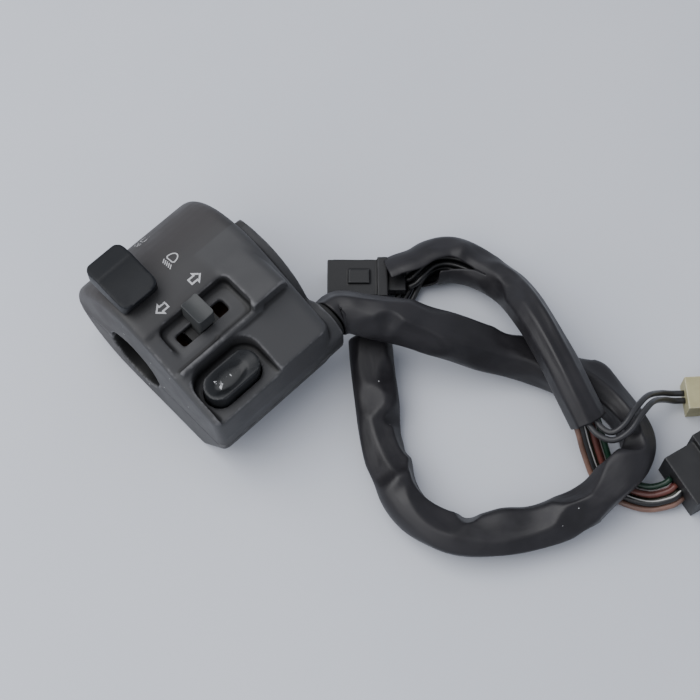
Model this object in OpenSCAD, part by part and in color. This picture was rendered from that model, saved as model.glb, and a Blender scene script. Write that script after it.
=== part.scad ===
// Handlebar switch cluster: dimmer rocker, turn signal knob, horn button, and a loom with three connectors
// The bar axis is X, the rider's side is +Z, and the rear half lies on a table at z = -rear_depth

/* [Handlebar] */
// Diameter of the bar that the two halves clamp
bar_d = 22.2; // [21.8:0.1:22.6]
// Radial clearance between the bar and the two halves
bar_fit = 0.05; // [0.02:0.01:0.1]

/* [Housing] */
// Length of the main body along the bar
body_l = 48; // [46:0.5:54]
// How far the collar and the cable boss stand past the main body
collar_l = 4; // [3:0.5:6]
// Radius of the barrel that faces the rider
barrel_r = 30; // [29:0.1:31]
// Tilt of the lower deck that carries the turn signal and the horn
deck_tilt = 19.5; // [18.5:0.25:20]
// Distance from the bar axis to the lower edge
lower_edge = 42; // [41.5:0.25:46]
// Depth of the rear half below the bar axis
rear_depth = 18.5; // [18:0.1:19.5]
// Thickness of the moulded walls
wall = 2.5; // [2:0.1:2.8]
// Thickness of the two end walls
end_wall = 2.4; // [2:0.1:2.6]
// Rounding of the outboard end
outboard_round = 2.2; // [1:0.1:2.5]
// Rounding of the inboard end
inboard_round = 3.6; // [2:0.1:4]
// Shank diameter of the screws that clamp the halves
clamp_screw_d = 5; // [4:0.1:5.4]

/* [Dimmer] */
// Length of the rocker cap across the bar
rocker_l = 20; // [18:0.5:21]
// Width of the rocker cap along the bar
rocker_w = 14; // [11:0.25:15]
// Thickness of the cap at its lower end
rocker_t = 5.7; // [5:0.1:6.4]
// Angle between the two settings
rocker_angle = 12; // [8:0.5:13]
// Diameter of the rocker's pivot pin
pivot_d = 2.5; // [2:0.1:2.8]

/* [Turn signal] */
// Length of the recess along the bar
recess_l = 27.5; // [26.5:0.25:28]
// Width of the recess
recess_w = 13.8; // [13:0.1:14]
// Length of the knob along the bar
knob_l = 6.2; // [5.5:0.1:7]
// Width of the knob
knob_w = 8.6; // [8:0.1:9]
// Travel of the knob to each side
turn_travel = 5; // [4:0.1:5.2]
// Push of the knob that cancels the signal
cancel_travel = 1.5; // [1:0.1:1.6]

/* [Horn] */
// Length of the button
horn_l = 20; // [18:0.25:20.5]
// Width of the button
horn_w = 9.6; // [8.5:0.1:10]
// Height of the button over the floor of its pocket
horn_h = 6; // [4.5:0.1:7]
// Travel of the button
horn_travel = 2.2; // [1.5:0.1:2.3]

/* [Loom] */
// Diameter of the main sleeve
main_sleeve_d = 14.4; // [13.4:0.1:14.8]
// Diameter of the branch sleeve
branch_sleeve_d = 12.6; // [11.6:0.1:13]
// Diameter of one insulated wire
wire_d = 2; // [1.6:0.05:2.2]

/* [Connectors] */
// Length of the side connector
side_l = 20; // [18:0.5:21]
// Width of the side connector
side_w = 13; // [12:0.25:13.5]
// Height of the side connector
side_h = 9.5; // [9:0.25:10.5]
// Length of the small connector
small_l = 22; // [20:0.5:26]
// Width of the small connector
small_w = 11; // [10:0.25:12]
// Height of the small connector
small_h = 8; // [7:0.25:9]
// Length of the main connector
main_l = 32; // [30:0.5:34]
// Width of the main connector
main_w = 18; // [17:0.25:18.5]
// Height of the main connector
main_h = 12; // [11:0.25:13]

/* [Hidden] */
$fn = 48;
far = 200;
gap = 0.3;
slide_fit = 0.1;
touch = 0.02;

// Stations along the bar
outboard_x = -(body_l + collar_l) / 2;
body_end_x = outboard_x + body_l;
collar_x = body_end_x + collar_l;
inside_x0 = outboard_x + end_wall;
inside_x1 = body_end_x - end_wall;
bore_r = bar_d / 2 + bar_fit;

// Outline of the front half across the bar, as (y, z) points
barrel_y = -1.5;
barrel_z = 29.5 - barrel_r;
below_parting = 6;
deck_start = [barrel_y - barrel_r * sin(deck_tilt), barrel_z + barrel_r * cos(deck_tilt)];
deck_end_y = -(lower_edge - 1.5);
deck_end_z = deck_start[1] - (deck_start[0] - deck_end_y) * tan(deck_tilt);
lower_corner_z = 6;
barrel_low_angle = asin((-below_parting - barrel_z) / barrel_r);
front_points = concat(
    arc(barrel_y, barrel_z, barrel_r, barrel_low_angle, 90 + deck_tilt, 18),
    [[deck_end_y, deck_end_z], [-lower_edge, lower_corner_z], [-lower_edge, -below_parting]]
);

// Outline of the rear half across the bar, as (y, z) points
// It has a round upper back, a flat back and a slanted lower side
rear_y = 5;
rear_flat_y = -31.5;
rear_edge_z = -2.5;
upper_edge = barrel_y + sqrt(barrel_r * barrel_r - barrel_z * barrel_z);
rear_r = (pow(upper_edge - rear_y, 2) + rear_depth * rear_depth) / (2 * rear_depth);
rear_z = rear_r - rear_depth;
rear_points = concat(
    arc(rear_y, rear_z, rear_r, 270, 360 + asin((below_parting - rear_z) / rear_r), 8),
    [[-lower_edge, below_parting], [-lower_edge, rear_edge_z], [rear_flat_y, -rear_depth]]
);

// Collar at the inboard end
collar_r = 23.5;
collar_y = -4;
collar_z = -1;
collar_top_y = 5.5;

// Raised flat beside the turn signal recess
plateau_z = barrel_z + barrel_r - 0.3;
plateau_low_y = -23.5;
plateau_round = 4;

// Turn signal recess in the deck
recess_x = -6.75;
recess_top_y = -8.5;
recess_y = recess_top_y - recess_w / 2;
recess_floor = barrel_z + barrel_r - 5.5;
recess_corner = 2.5;
divider_r = 1.2;
divider_y = recess_y - recess_w / 2 - divider_r / 2;
tray_t = 2.4;
tray_rim = 2.2;
step_depth = 0.8;
turn_x = -7.6;
turn_y = -14.5;

// Contact bases and their bridging contacts
base_t = 2;
contact_t = 0.45;

// Turn signal stack below the recess
stem_l = 5.2;
stem_w = 4.2;
slot_w = stem_w + 0.5;
slot_l = stem_l + 2 * turn_travel + 3.4;
knob_top = recess_floor + 9;
knob_low = recess_floor + cancel_travel + gap + 0.1;
slider_top = recess_floor - tray_t - gap;
slider_plate = 2;
slider_l = 11;
slider_w = 12;
slider_wall = 1.2;
flange_t = 1.1;
flange_top = slider_top - slider_plate - gap;
seat_top = flange_top - flange_t - 3;
seat_low = seat_top - 1;
turn_base_top = seat_low - contact_t - gap;
turn_base_x0 = -22.9;
turn_base_x1 = 7;
turn_base_y0 = -22;
turn_base_y1 = -7.5;
turn_screw_x = [-20.5, 5.3];
turn_rivet_y = turn_y - 4.2;
turn_rivet_pitch = 5.5;
turn_wire_r = 0.2;
turn_coil_r = 1.6;

// Dimmer rocker, its pivot and the carriage that it drives
rocker_x = outboard_x + 8.5;
rocker_y = 9.5;
pivot_z = barrel_z + barrel_r - 7.7;
hub_w = 8.4;
hub_r = 3.2;
neck_l = 7;
cap_low = barrel_z + barrel_r + gap;
cap_top = cap_low + rocker_t;
cap_corner = 3.2;
ridge_share = 0.66;
ridge_rise = 1.2;
dish_depth = 0.4;
window_l = neck_l + 2 * ((barrel_z + barrel_r - pivot_z) * sin(rocker_angle) + 3 * gap);
window_w = 10;
ear_t = 1;
ear_r = 2.1;
ear_gap = 0.2;
dimmer_base_low = bore_r + 0.45;
dimmer_base_top = dimmer_base_low + base_t;
dimmer_base_y0 = 3.5;
dimmer_base_y1 = 15.5;
dimmer_base_end = rocker_x + 11.6;
dimmer_screw_x = rocker_x + 9;
dimmer_screw_y = [7, 13];
carriage_low = dimmer_base_top + gap + contact_t;
carriage_h = 2.2;
carriage_l = 5;
carriage_w = 6;
plunger_tip_z = carriage_low + 0.7;
plunger_r = 1.2;
finger_r = 2.3;
finger_low = carriage_low + carriage_h + 0.6;
finger_bore_r = plunger_r + 0.1;
finger_bore_top = pivot_z - pivot_d / 2 - 0.5;
dimmer_spring_h = 2.6;
dimmer_wire_r = 0.18;

// Horn pocket and the stack below it
horn_x = -12;
horn_y = -32.3;
horn_floor = 15.5;
horn_top = horn_floor + horn_h;
pocket_x = -11.6;
pocket_y = -31.45;
pocket_l = 24.8;
pocket_w = 14.9;
pocket_corner = 6.5;
horn_tray_low = horn_floor - 2.3;
horn_flange_t = 1.3;
horn_lip = 0.8;
horn_flange_top = horn_tray_low - gap;
horn_flange_low = horn_flange_top - horn_flange_t;
horn_base_low = 1.6;
horn_base_top = horn_base_low + base_t;
horn_post_r = 1.5;
horn_rivet_top = 5.2;
horn_post_low = horn_rivet_top + horn_travel + gap + contact_t;
horn_coil_r = 2.7;
horn_wire_r = 0.3;
horn_screw_x = [-19, -5.5];
horn_screw_y = -24;

// Screws
clamp_spots = [[-15, 20], [13, 20], [11, -21]];
clamp_boss_r = clamp_screw_d / 2 + 1.3;
clamp_head_r = clamp_screw_d / 2 + 1.5;
clamp_head_t = 3;
clamp_seat_z = -9;
clamp_thread = 10;
base_screw_r = 1.15;
base_head_r = 1.8;
base_head_t = 1.1;
base_thread = 4.5;
base_boss_r = 1.8;

// Cable exit
exit_y = -33.5;
exit_z = 3;
exit_r = main_sleeve_d / 2;
exit_wall = 2.3;
flange_r = exit_r + 0.8;
grommet_flange = 2;
grommet_nose = 2;
exit_x = collar_x + grommet_nose;
grommet_bore = exit_r - 2.2;

// Loom: x and y are measured from the cable exit, the third value is the height in sleeve diameters
table_z = -rear_depth;
exit_lift = (exit_z - table_z) / main_sleeve_d - 0.5;
main_route = [
    [0, 0, exit_lift], [4, 0, exit_lift], [8, -4.2, 1.04], [15, -15, 1.06], [23, -27, 0.76],
    [31, -38, 0.36], [38, -48, 0.12], [44, -60, 0], [48, -73, 0], [47, -86, 0.04],
    [40.5, -95.5, 0.34], [29.5, -98.8, 0.42], [15.5, -97.4, 0.22], [1, -92.8, 0], [-11, -85.5, 0],
    [-19, -75.5, 0], [-20.5, -61, 0], [-17.5, -46.5, 0], [-10, -33, 0], [-1, -21, 0], [8, -10.5, 0]
];
branch_route = [
    [36.5, -3.5, 0], [43, -4, 0], [49, -8.5, 0], [52.3, -17.5, 0.1], [52, -31, 0.5],
    [47, -45.5, 1], [42, -59.5, 1.08], [38, -71, 0.95], [35.5, -80.5, 0.66]
];

// Wires: x and y from the cable exit, the third value is the height of the wire over the table in mm
loom_route = [
    [8, -10.5, 6.2], [10.2, -8, 5], [14, -7.2, 2.2], [20, -8.5, 0.4], [29, -5.8, 1.6], [36.5, -3.5, 3]
];
loom_spread = [-2.3, 0, 2.3];
side_route = [[31.816, -2.668, 5], [34.2, -3.6, 6], [36.5, -3.6, 7]];
side_spread = [-2.4, 0, 2.4];
tail_route = [
    [35.6, -79.8, 11.8], [33, -86.5, 6.3], [30.8, -94, 0.8], [31.2, -101.5, 0.1],
    [34.6, -109, 1], [39.7, -112.9, 2.6], [43, -113.5, 3.4]
];
tail_spread = [-2.3, 0, 2.3];
tail_rise = [0, 2.6];
pair_route = [
    [35.3, -81.3, 16.6], [35, -85, 16.4], [38, -88.4, 17.6], [44, -88.2, 18.6],
    [53, -87.6, 16.6], [61, -89.2, 7.5], [65.4, -91.9, 3.6], [68.5, -94.5, 3]
];
pair_spread = [-1.3, 1.3];

// Connectors: place of the wire end's middle, and the turn about Z
side_place = on_table(side_route[0]);
side_turn = -44;
side_tail = 6;
side_tail_w = 8.4;
side_tail_low = 4.6;
small_place = on_table(last(pair_route));
small_turn = -40;
main_place = on_table(last(tail_route));
main_turn = -13.6;
pin_w = 2.4;
pin_t = 0.8;
cavity_w = 3;
cavity_h = 2.4;
cavity_depth = 8;

// Inner wires from the rivets to the grommet
inner_end = [inside_x1 - grommet_flange, exit_y, exit_z];
dimmer_wire = [
    [-15, 9.3, dimmer_base_low - 1.6], [-9, 10, 9.3], [-4.6, 8.6, 10.2], [-3.2, 4, 12.3], [-3.4, -1, 12.4],
    [-3.8, -5, 11], [-4, -9, 9.1], [-3, -18, 8], [1, -25.5, 6.4], [9, -31.5, 3.8]
];
turn_wire = [
    [turn_x + turn_rivet_pitch, turn_rivet_y, turn_base_top - base_t - 1.6],
    [2.5, -24, 9.6], [9, -30, 6.8]
];
horn_wire = [[-5.3, -30, horn_base_low - 1.8], [2, -33, 0.2], [9, -34, 0.8]];
inner_routes = [dimmer_wire, turn_wire, horn_wire];
inner_rise = [0, 2.6, -2.6];
inner_spread = [-1.1, 1.1];
inner_d = 1.6;

// Points along an arc from angle a0 to a1
function arc(cy, cz, r, a0, a1, steps) =
    [for (i = [0:steps]) let (a = a0 + (a1 - a0) * i / steps) [cy + r * cos(a), cz + r * sin(a)]];

function last(list) = list[len(list) - 1];

// The spot on the table below a route point
function on_table(p) = [exit_x + p[0], exit_y + p[1], table_z];

function unit(v) = v / norm(v);

function left_of(v) = [-v[1], v[0]];

// The same outline, moved inward by a distance
function inset(points, d) = [
    for (i = [0:len(points) - 1])
        let (
            n = len(points),
            before = left_of(unit(points[i] - points[(i + n - 1) % n])),
            after = left_of(unit(points[(i + 1) % n] - points[i]))
        )
        points[i] + d * (before + after) / (1 + before * after)
];

// Route points of a sleeve, lifted off the table by its height in diameters
function sleeve_points(route, d, step) =
    [for (p = route) [exit_x + p[0], exit_y + p[1], table_z + d / 2 + p[2] * step]];

// A route moved sideways, level with the table
function beside(route, aside) = [
    for (i = [0:len(route) - 1])
        let (
            ahead = route[min(i + 1, len(route) - 1)],
            back = route[max(i - 1, 0)],
            side = left_of(unit([ahead[0] - back[0], ahead[1] - back[1]])) * aside
        )
        route[i] + [side[0], side[1], 0]
];

// Route points of the middle of a group of wires on the table
function wire_points(route) = [for (p = route) [exit_x + p[0], exit_y + p[1], table_z + wire_d / 2 + p[2]]];

// Ring of points around a route point
function ring(route, i, r, sides) =
    let (
        n = len(route),
        along = unit(route[min(i + 1, n - 1)] - route[max(i - 1, 0)]),
        side = unit(cross([0, 0, 1], along)),
        up = cross(along, side)
    )
    [for (k = [0:sides - 1]) route[i] + r * (cos(360 * k / sides) * side + sin(360 * k / sides) * up)];

// A closed solid through rings that have the same number of points, listed one ring after another
module loft(points, sides) {
    rings = len(points) / sides;
    walls = [
        for (i = [0:rings - 2])
            for (k = [0:sides - 1])
                let (near = i * sides, next = (k + 1) % sides)
                each [
                    [near + k, near + sides + k, near + sides + next],
                    [near + k, near + sides + next, near + next]
                ]
    ];
    start_cap = [[for (k = [0:sides - 1]) k]];
    end_cap = [[for (k = [0:sides - 1]) rings * sides - 1 - k]];
    polyhedron(points = points, faces = concat(walls, start_cap, end_cap), convexity = 6);
}

// A closed round tube along a route
module tube(route, r, sides) {
    loft([for (i = [0:len(route) - 1]) each ring(route, i, r, sides)], sides);
}

// A coil spring that stands on z = 0
module coil(r, wire_r, height, curls) {
    rings_a_curl = 8;
    total = rings_a_curl * curls;
    rise = height - 2 * wire_r;
    echo(coil_gap = rise / curls - 2 * wire_r);
    route = [
        for (i = [0:total])
            let (a = 360 * i / rings_a_curl)
            [r * cos(a), r * sin(a), wire_r + rise * i / total]
    ];
    tube(route, wire_r, 6);
}

// A flat outline across the bar, stretched along the bar
module along_x(x0, x1) {
    translate([x0, 0, 0]) rotate([90, 0, 90]) linear_extrude(x1 - x0) children();
}

// A cylinder along the bar direction
module rod_x(x0, x1, y, z, r) {
    translate([x0, y, z]) rotate([0, 90, 0]) cylinder(h = x1 - x0, r = r);
}

// A cylinder that stands along Z
module rod_z(x, y, z0, z1, r) {
    translate([x, y, z0]) cylinder(h = z1 - z0, r = r);
}

// A block from its two opposite corners
module block(low, high) {
    translate(low) cube(high - low);
}

// A rectangle with rounded corners, about the origin
module rounded_rect(l, w, r) {
    square([l - 2 * r, w], center = true);
    square([l, w - 2 * r], center = true);
    for (sx = [-1, 1])
        for (sy = [-1, 1])
            translate([sx * (l / 2 - r), sy * (w / 2 - r)]) circle(r);
}

// An oblong with round ends, about the origin
module oblong(l, w) {
    square([l - w, w], center = true);
    for (sx = [-1, 1])
        translate([sx * (l - w) / 2, 0]) circle(w / 2);
}

// A body with the given outline whose two ends are rounded over
module round_ended(points, x0, x1, r0, r1) {
    near_end = [for (a = [0:30:90]) [x0 + r0 * (1 - cos(a)), r0 * (1 - sin(a))]];
    far_end = [for (a = [90:-30:0]) [x1 - r1 * (1 - cos(a)), r1 * (1 - sin(a))]];
    loft([
        for (station = concat(near_end, far_end))
            for (p = inset(points, station[1]))
                [station[0], p[0], p[1]]
    ], len(points));
}

// Everything below the parting plane
module lower_half() {
    block([-far, -far, -far], [far, far, 0]);
}

// Everything above the parting plane
module upper_half() {
    block([-far, -far, 0], [far, far, far]);
}

// Raised flat beside the turn signal recess, rounded down toward the inboard end
module plateau() {
    x0 = recess_x + recess_l / 2;
    x1 = body_end_x - 2;
    rotate([90, 0, 0]) linear_extrude(-plateau_low_y) {
        translate([x0 - 1, plateau_z - 10]) square([x1 - x0 + 1 - plateau_round, 10]);
        translate([x0 - 1, plateau_z - 10]) square([x1 - x0 + 1, 10 - plateau_round]);
        translate([x1 - plateau_round, plateau_z - plateau_round]) circle(plateau_round);
    }
}

// Soft ridge between the turn signal recess and the horn pocket
module divider() {
    rod_x(outboard_x + outboard_round, recess_x + recess_l / 2 + 2, divider_y, recess_floor, divider_r);
}

// Collar round the bar at the inboard end
module collar() {
    along_x(body_end_x - inboard_round - 1, collar_x)
        intersection() {
            translate([collar_y, collar_z]) circle(collar_r);
            translate([exit_y + 8, 0]) square([collar_top_y - exit_y - 8, far]);
        }
}

// Round boss that carries the cable exit, inside the given outline
module cable_boss(points) {
    intersection() {
        along_x(body_end_x - inboard_round - 1, collar_x) polygon(points);
        rod_x(outboard_x, collar_x + 1, exit_y, exit_z, exit_r + exit_wall);
    }
}

// Outer form of the front half
module front_form() {
    difference() {
        union() {
            round_ended(front_points, outboard_x, body_end_x, outboard_round, inboard_round);
            plateau();
            divider();
            collar();
            cable_boss(front_points);
        }
        lower_half();
    }
}

// Bosses that hang from the roof of the front half
module front_bosses() {
    roof = barrel_z + barrel_r;
    for (spot = clamp_spots)
        rod_z(spot[0], spot[1], 0, roof, clamp_boss_r);
    for (y = dimmer_screw_y)
        rod_z(dimmer_screw_x, y, dimmer_base_top, roof, base_boss_r);
    for (x = turn_screw_x)
        rod_z(x, turn_y, turn_base_top, recess_floor, base_boss_r);
    for (x = horn_screw_x)
        rod_z(x, horn_screw_y, horn_base_top, roof, base_boss_r);
}

// Solid floor and walls round the turn signal recess and the horn pocket
module front_trays() {
    translate([recess_x, recess_y, recess_floor - tray_t])
        linear_extrude(far)
            rounded_rect(recess_l + 2 * tray_rim, recess_w + 2 * tray_rim, recess_corner);
    translate([pocket_x, pocket_y, horn_tray_low])
        linear_extrude(far)
            rounded_rect(pocket_l + 2 * tray_rim, pocket_w + 2 * tray_rim, pocket_corner);
}

// Screw holes in the bosses of the front half
module front_screw_holes() {
    for (spot = clamp_spots)
        rod_z(spot[0], spot[1], -1, clamp_thread + 1, clamp_screw_d / 2);
    for (y = dimmer_screw_y)
        rod_z(dimmer_screw_x, y, dimmer_base_top - 1, dimmer_base_top + base_thread, base_screw_r + touch);
    for (x = turn_screw_x)
        rod_z(x, turn_y, turn_base_top - 1, turn_base_top + base_thread, base_screw_r + touch);
    for (x = horn_screw_x)
        rod_z(x, horn_screw_y, horn_base_top - 1, horn_base_top + base_thread, base_screw_r + touch);
}

// The hole and the flange groove of the cable grommet
module exit_hole() {
    rod_x(inside_x1 - grommet_flange - 1, collar_x + 1, exit_y, exit_z, exit_r);
    rod_x(inside_x1 - grommet_flange - 1, inside_x1, exit_y, exit_z, flange_r + slide_fit);
}

// Shallow step that runs from the outboard end to the recess
module deck_step() {
    difference() {
        block([outboard_x - 1, recess_y - recess_w / 2, 20], [recess_x, recess_top_y, far]);
        along_x(outboard_x - 2, recess_x + 1) polygon(inset(front_points, step_depth));
    }
}

// Pocket of the horn button, open toward the lower edge
module horn_pocket() {
    translate([pocket_x, pocket_y, horn_floor])
        linear_extrude(far) rounded_rect(pocket_l, pocket_w, pocket_corner);
    block(
        [pocket_x - pocket_l / 2, -lower_edge - 1, horn_floor],
        [pocket_x + pocket_l / 2, pocket_y, far]
    );
}

module front_housing() color([0.27, 0.27, 0.27]) {
    difference() {
        union() {
            difference() {
                front_form();
                along_x(inside_x0, inside_x1) polygon(inset(front_points, wall));
            }
            intersection() {
                front_form();
                union() {
                    front_bosses();
                    front_trays();
                }
            }
        }
        deck_step();
        translate([recess_x, recess_y, recess_floor])
            linear_extrude(far) rounded_rect(recess_l, recess_w, recess_corner);
        translate([turn_x, turn_y, recess_floor - tray_t - 1])
            linear_extrude(tray_t + 2) rounded_rect(slot_l, slot_w, 0.6);
        horn_pocket();
        translate([horn_x, horn_y, horn_tray_low - 1])
            linear_extrude(10) oblong(horn_l + 2 * gap, horn_w + 2 * gap);
        translate([rocker_x, rocker_y, pivot_z - 4])
            linear_extrude(far) square([window_w, window_l], center = true);
        rod_x(outboard_x - 1, collar_x + 1, 0, 0, bore_r);
        front_screw_holes();
        exit_hole();
    }
}

module rear_housing() color([0.24, 0.24, 0.24]) {
    floor_y = -16;
    difference() {
        union() {
            difference() {
                union() {
                    round_ended(rear_points, outboard_x, body_end_x, outboard_round, inboard_round);
                    cable_boss(rear_points);
                }
                along_x(inside_x0, inside_x1)
                    intersection() {
                        polygon(inset(rear_points, wall));
                        translate([-far, -far]) square([far + floor_y, 2 * far]);
                    }
            }
            rod_z(clamp_spots[2][0], clamp_spots[2][1], clamp_seat_z - 5, 0, clamp_head_r + 1.5);
        }
        upper_half();
        rod_x(outboard_x - 1, collar_x + 1, 0, 0, bore_r);
        for (spot = clamp_spots) {
            rod_z(spot[0], spot[1], clamp_seat_z - 1, 1, clamp_screw_d / 2);
            rod_z(spot[0], spot[1], -far, clamp_seat_z, clamp_head_r + 0.2);
        }
        exit_hole();
    }
}

// A cross-slotted screw whose head seats at seat_z and faces down
module screw_up(x, y, seat_z, thread, r, head_r, head_t) {
    translate([x, y, seat_z])
        difference() {
            union() {
                cylinder(h = thread, r = r);
                translate([0, 0, -head_t]) cylinder(h = head_t, r = head_r);
            }
            for (turn = [0, 90])
                rotate([0, 0, turn])
                    translate([0, 0, -head_t]) cube([head_r * 1.2, head_r * 0.3, head_t], center = true);
        }
}

// A small screw that holds a contact base up against its boss
module base_screw(x, y, seat_z) {
    screw_up(x, y, seat_z, base_t + base_thread - 0.5, base_screw_r, base_head_r, base_head_t);
}

module housing_screws() color([0.6, 0.6, 0.6]) {
    for (spot = clamp_spots)
        screw_up(spot[0], spot[1], clamp_seat_z, clamp_thread - clamp_seat_z, clamp_screw_d / 2 - touch,
            clamp_head_r, clamp_head_t);
}

// Turned rubber ring: inner flange, neck through the wall, and the nose that the sleeve butts on
module cable_grommet() color([0.1, 0.1, 0.1]) {
    x0 = inside_x1 - grommet_flange;
    difference() {
        union() {
            rod_x(x0, inside_x1, exit_y, exit_z, flange_r);
            rod_x(x0, collar_x, exit_y, exit_z, exit_r - touch);
            rod_x(x0, exit_x, exit_y, exit_z, exit_r - 0.7);
        }
        rod_x(x0 + 1, exit_x + 1, exit_y, exit_z, grommet_bore);
    }
}

// Side view of the rocker cap, as (y, z) points: a dished thumb face below a ridge, and a facet above it
module cap_side() {
    low_y = rocker_y - rocker_l / 2;
    high_y = rocker_y + rocker_l / 2;
    ridge_y = low_y + ridge_share * rocker_l;
    ridge_z = cap_top + ridge_rise;
    dish = [
        for (i = [0:8])
            let (t = i / 8)
            [ridge_y + (low_y - ridge_y) * t, ridge_z - ridge_rise * t - 4 * dish_depth * t * (1 - t)]
    ];
    polygon(concat(
        dish,
        [[low_y, cap_top - 1], [low_y + 1.2, cap_low], [high_y - 1.6, cap_low], [high_y, cap_top - 1.4],
            [high_y - 0.4, cap_top - 0.2]]
    ));
}

module dimmer_rocker() color([0.12, 0.12, 0.12]) {
    difference() {
        union() {
            intersection() {
                along_x(rocker_x - rocker_w / 2, rocker_x + rocker_w / 2) cap_side();
                translate([rocker_x, rocker_y, 0])
                    linear_extrude(far) rounded_rect(rocker_w, rocker_l, cap_corner);
            }
            translate([rocker_x, rocker_y, (pivot_z + cap_low + 1) / 2])
                cube([hub_w, neck_l, cap_low + 1 - pivot_z], center = true);
            rod_x(rocker_x - hub_w / 2, rocker_x + hub_w / 2, rocker_y, pivot_z, hub_r);
            rod_z(rocker_x, rocker_y, finger_low, pivot_z, finger_r);
        }
        rod_x(rocker_x - hub_w, rocker_x + hub_w, rocker_y, pivot_z, pivot_d / 2 + 0.05);
        rod_z(rocker_x, rocker_y, finger_low - 1, finger_bore_top, finger_bore_r);
    }
}

module dimmer_pivot_pin() color([0.7, 0.7, 0.7]) {
    reach = hub_w / 2 + ear_gap + ear_t;
    rod_x(rocker_x - reach, rocker_x + reach, rocker_y, pivot_z, pivot_d / 2);
}

module dimmer_plunger() color([0.75, 0.65, 0.4]) {
    rod_z(rocker_x, rocker_y, plunger_tip_z, finger_bore_top - dimmer_spring_h, plunger_r);
}

module dimmer_spring() color([0.7, 0.7, 0.7]) {
    translate([rocker_x, rocker_y, finger_bore_top - dimmer_spring_h])
        coil(plunger_r - dimmer_wire_r - 0.1, dimmer_wire_r, dimmer_spring_h, 3);
}

module dimmer_base() color([0.35, 0.25, 0.18]) {
    reach = hub_w / 2 + ear_gap;
    difference() {
        union() {
            block(
                [rocker_x - reach - ear_t, dimmer_base_y0, dimmer_base_low],
                [dimmer_base_end, dimmer_base_y1, dimmer_base_top]
            );
            for (x = [rocker_x - reach - ear_t, rocker_x + reach]) {
                block([x, rocker_y - ear_r, dimmer_base_low], [x + ear_t, rocker_y + ear_r, pivot_z]);
                rod_x(x, x + ear_t, rocker_y, pivot_z, ear_r);
            }
        }
        rod_x(rocker_x - far, rocker_x + far, rocker_y, pivot_z, pivot_d / 2);
        for (y = dimmer_screw_y)
            rod_z(dimmer_screw_x, y, 0, dimmer_base_top + 1, base_screw_r + touch);
        for (spot = dimmer_rivet_spots())
            rod_z(spot[0], spot[1], 0, dimmer_base_top + 1, 1);
    }
}

function dimmer_rivet_spots() = [
    [rocker_x - 2, rocker_y - 3.5], [rocker_x - 2, rocker_y + 4], [rocker_x + 2.5, rocker_y - 0.2]
];

// A rivet that stands flush in the top of a base, with a solder end below it
module rivet(spot, low, top) {
    rod_z(spot[0], spot[1], low - 0.6, top, 1);
    rod_z(spot[0], spot[1], low - 0.6, low, 1.5);
}

module dimmer_base_screws() color([0.65, 0.65, 0.65]) {
    for (y = dimmer_screw_y)
        base_screw(dimmer_screw_x, y, dimmer_base_low);
}

module dimmer_carriage() color([0.85, 0.83, 0.76]) {
    difference() {
        translate([rocker_x, rocker_y, carriage_low + carriage_h / 2])
            cube([carriage_l, carriage_w, carriage_h], center = true);
        rod_z(rocker_x, rocker_y, carriage_low + 0.4, far, plunger_r + 0.5);
    }
}

module dimmer_contact() color([0.8, 0.5, 0.25]) {
    translate([rocker_x, rocker_y, carriage_low - contact_t / 2])
        cube([carriage_l + 1.5, 2.4, contact_t], center = true);
}

module dimmer_terminals() color([0.8, 0.65, 0.3]) {
    for (spot = dimmer_rivet_spots())
        rivet(spot, dimmer_base_low, dimmer_base_top);
}

module turn_knob() color([0.36, 0.37, 0.35]) {
    knob_y = turn_y + 1.2;
    difference() {
        translate([turn_x, knob_y, knob_low])
            linear_extrude(knob_top - knob_low) rounded_rect(knob_l, knob_w, 0.8);
        translate([turn_x, knob_y + far / 2, knob_top + 5.2]) rotate([90, 0, 0]) cylinder(h = far, r = 6);
    }
    translate([turn_x, turn_y, (knob_low + flange_top) / 2])
        cube([stem_l, stem_w, knob_low - flange_top + 1], center = true);
    translate([turn_x, turn_y, flange_top - flange_t / 2])
        cube([stem_l + 2, stem_w + 2, flange_t], center = true);
}

module turn_spring() color([0.7, 0.7, 0.7]) {
    translate([turn_x, turn_y, seat_top])
        coil(turn_coil_r, turn_wire_r, flange_top - flange_t - seat_top, 3);
}

module turn_slider() color([0.85, 0.83, 0.76]) {
    difference() {
        block(
            [turn_x - slider_l / 2, turn_y - slider_w / 2, seat_low],
            [turn_x + slider_l / 2, turn_y + slider_w / 2, slider_top]
        );
        block(
            [turn_x - slider_l, turn_y - slider_w / 2 + slider_wall, seat_top],
            [turn_x + slider_l, turn_y + slider_w / 2 - slider_wall, slider_top - slider_plate]
        );
        translate([turn_x, turn_y, slider_top])
            cube([stem_l + 2 * slide_fit, stem_w + 2 * slide_fit, 3 * slider_plate], center = true);
    }
}

module turn_contact() color([0.8, 0.5, 0.25]) {
    translate([turn_x, turn_rivet_y, seat_low - contact_t / 2])
        cube([slider_l - 1, 3, contact_t], center = true);
}

function turn_rivet_spots() = [for (i = [-1:1]) [turn_x + turn_rivet_pitch * i, turn_rivet_y]];

module turn_base() color([0.35, 0.25, 0.18]) {
    difference() {
        block(
            [turn_base_x0, turn_base_y0, turn_base_top - base_t],
            [turn_base_x1, turn_base_y1, turn_base_top]
        );
        for (x = turn_screw_x)
            rod_z(x, turn_y, 0, far, base_screw_r + touch);
        for (spot = turn_rivet_spots())
            rod_z(spot[0], spot[1], 0, far, 1);
    }
}

module turn_base_screws() color([0.65, 0.65, 0.65]) {
    for (x = turn_screw_x)
        base_screw(x, turn_y, turn_base_top - base_t);
}

module turn_terminals() color([0.8, 0.65, 0.3]) {
    for (spot = turn_rivet_spots())
        rivet(spot, turn_base_top - base_t, turn_base_top);
}

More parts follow.
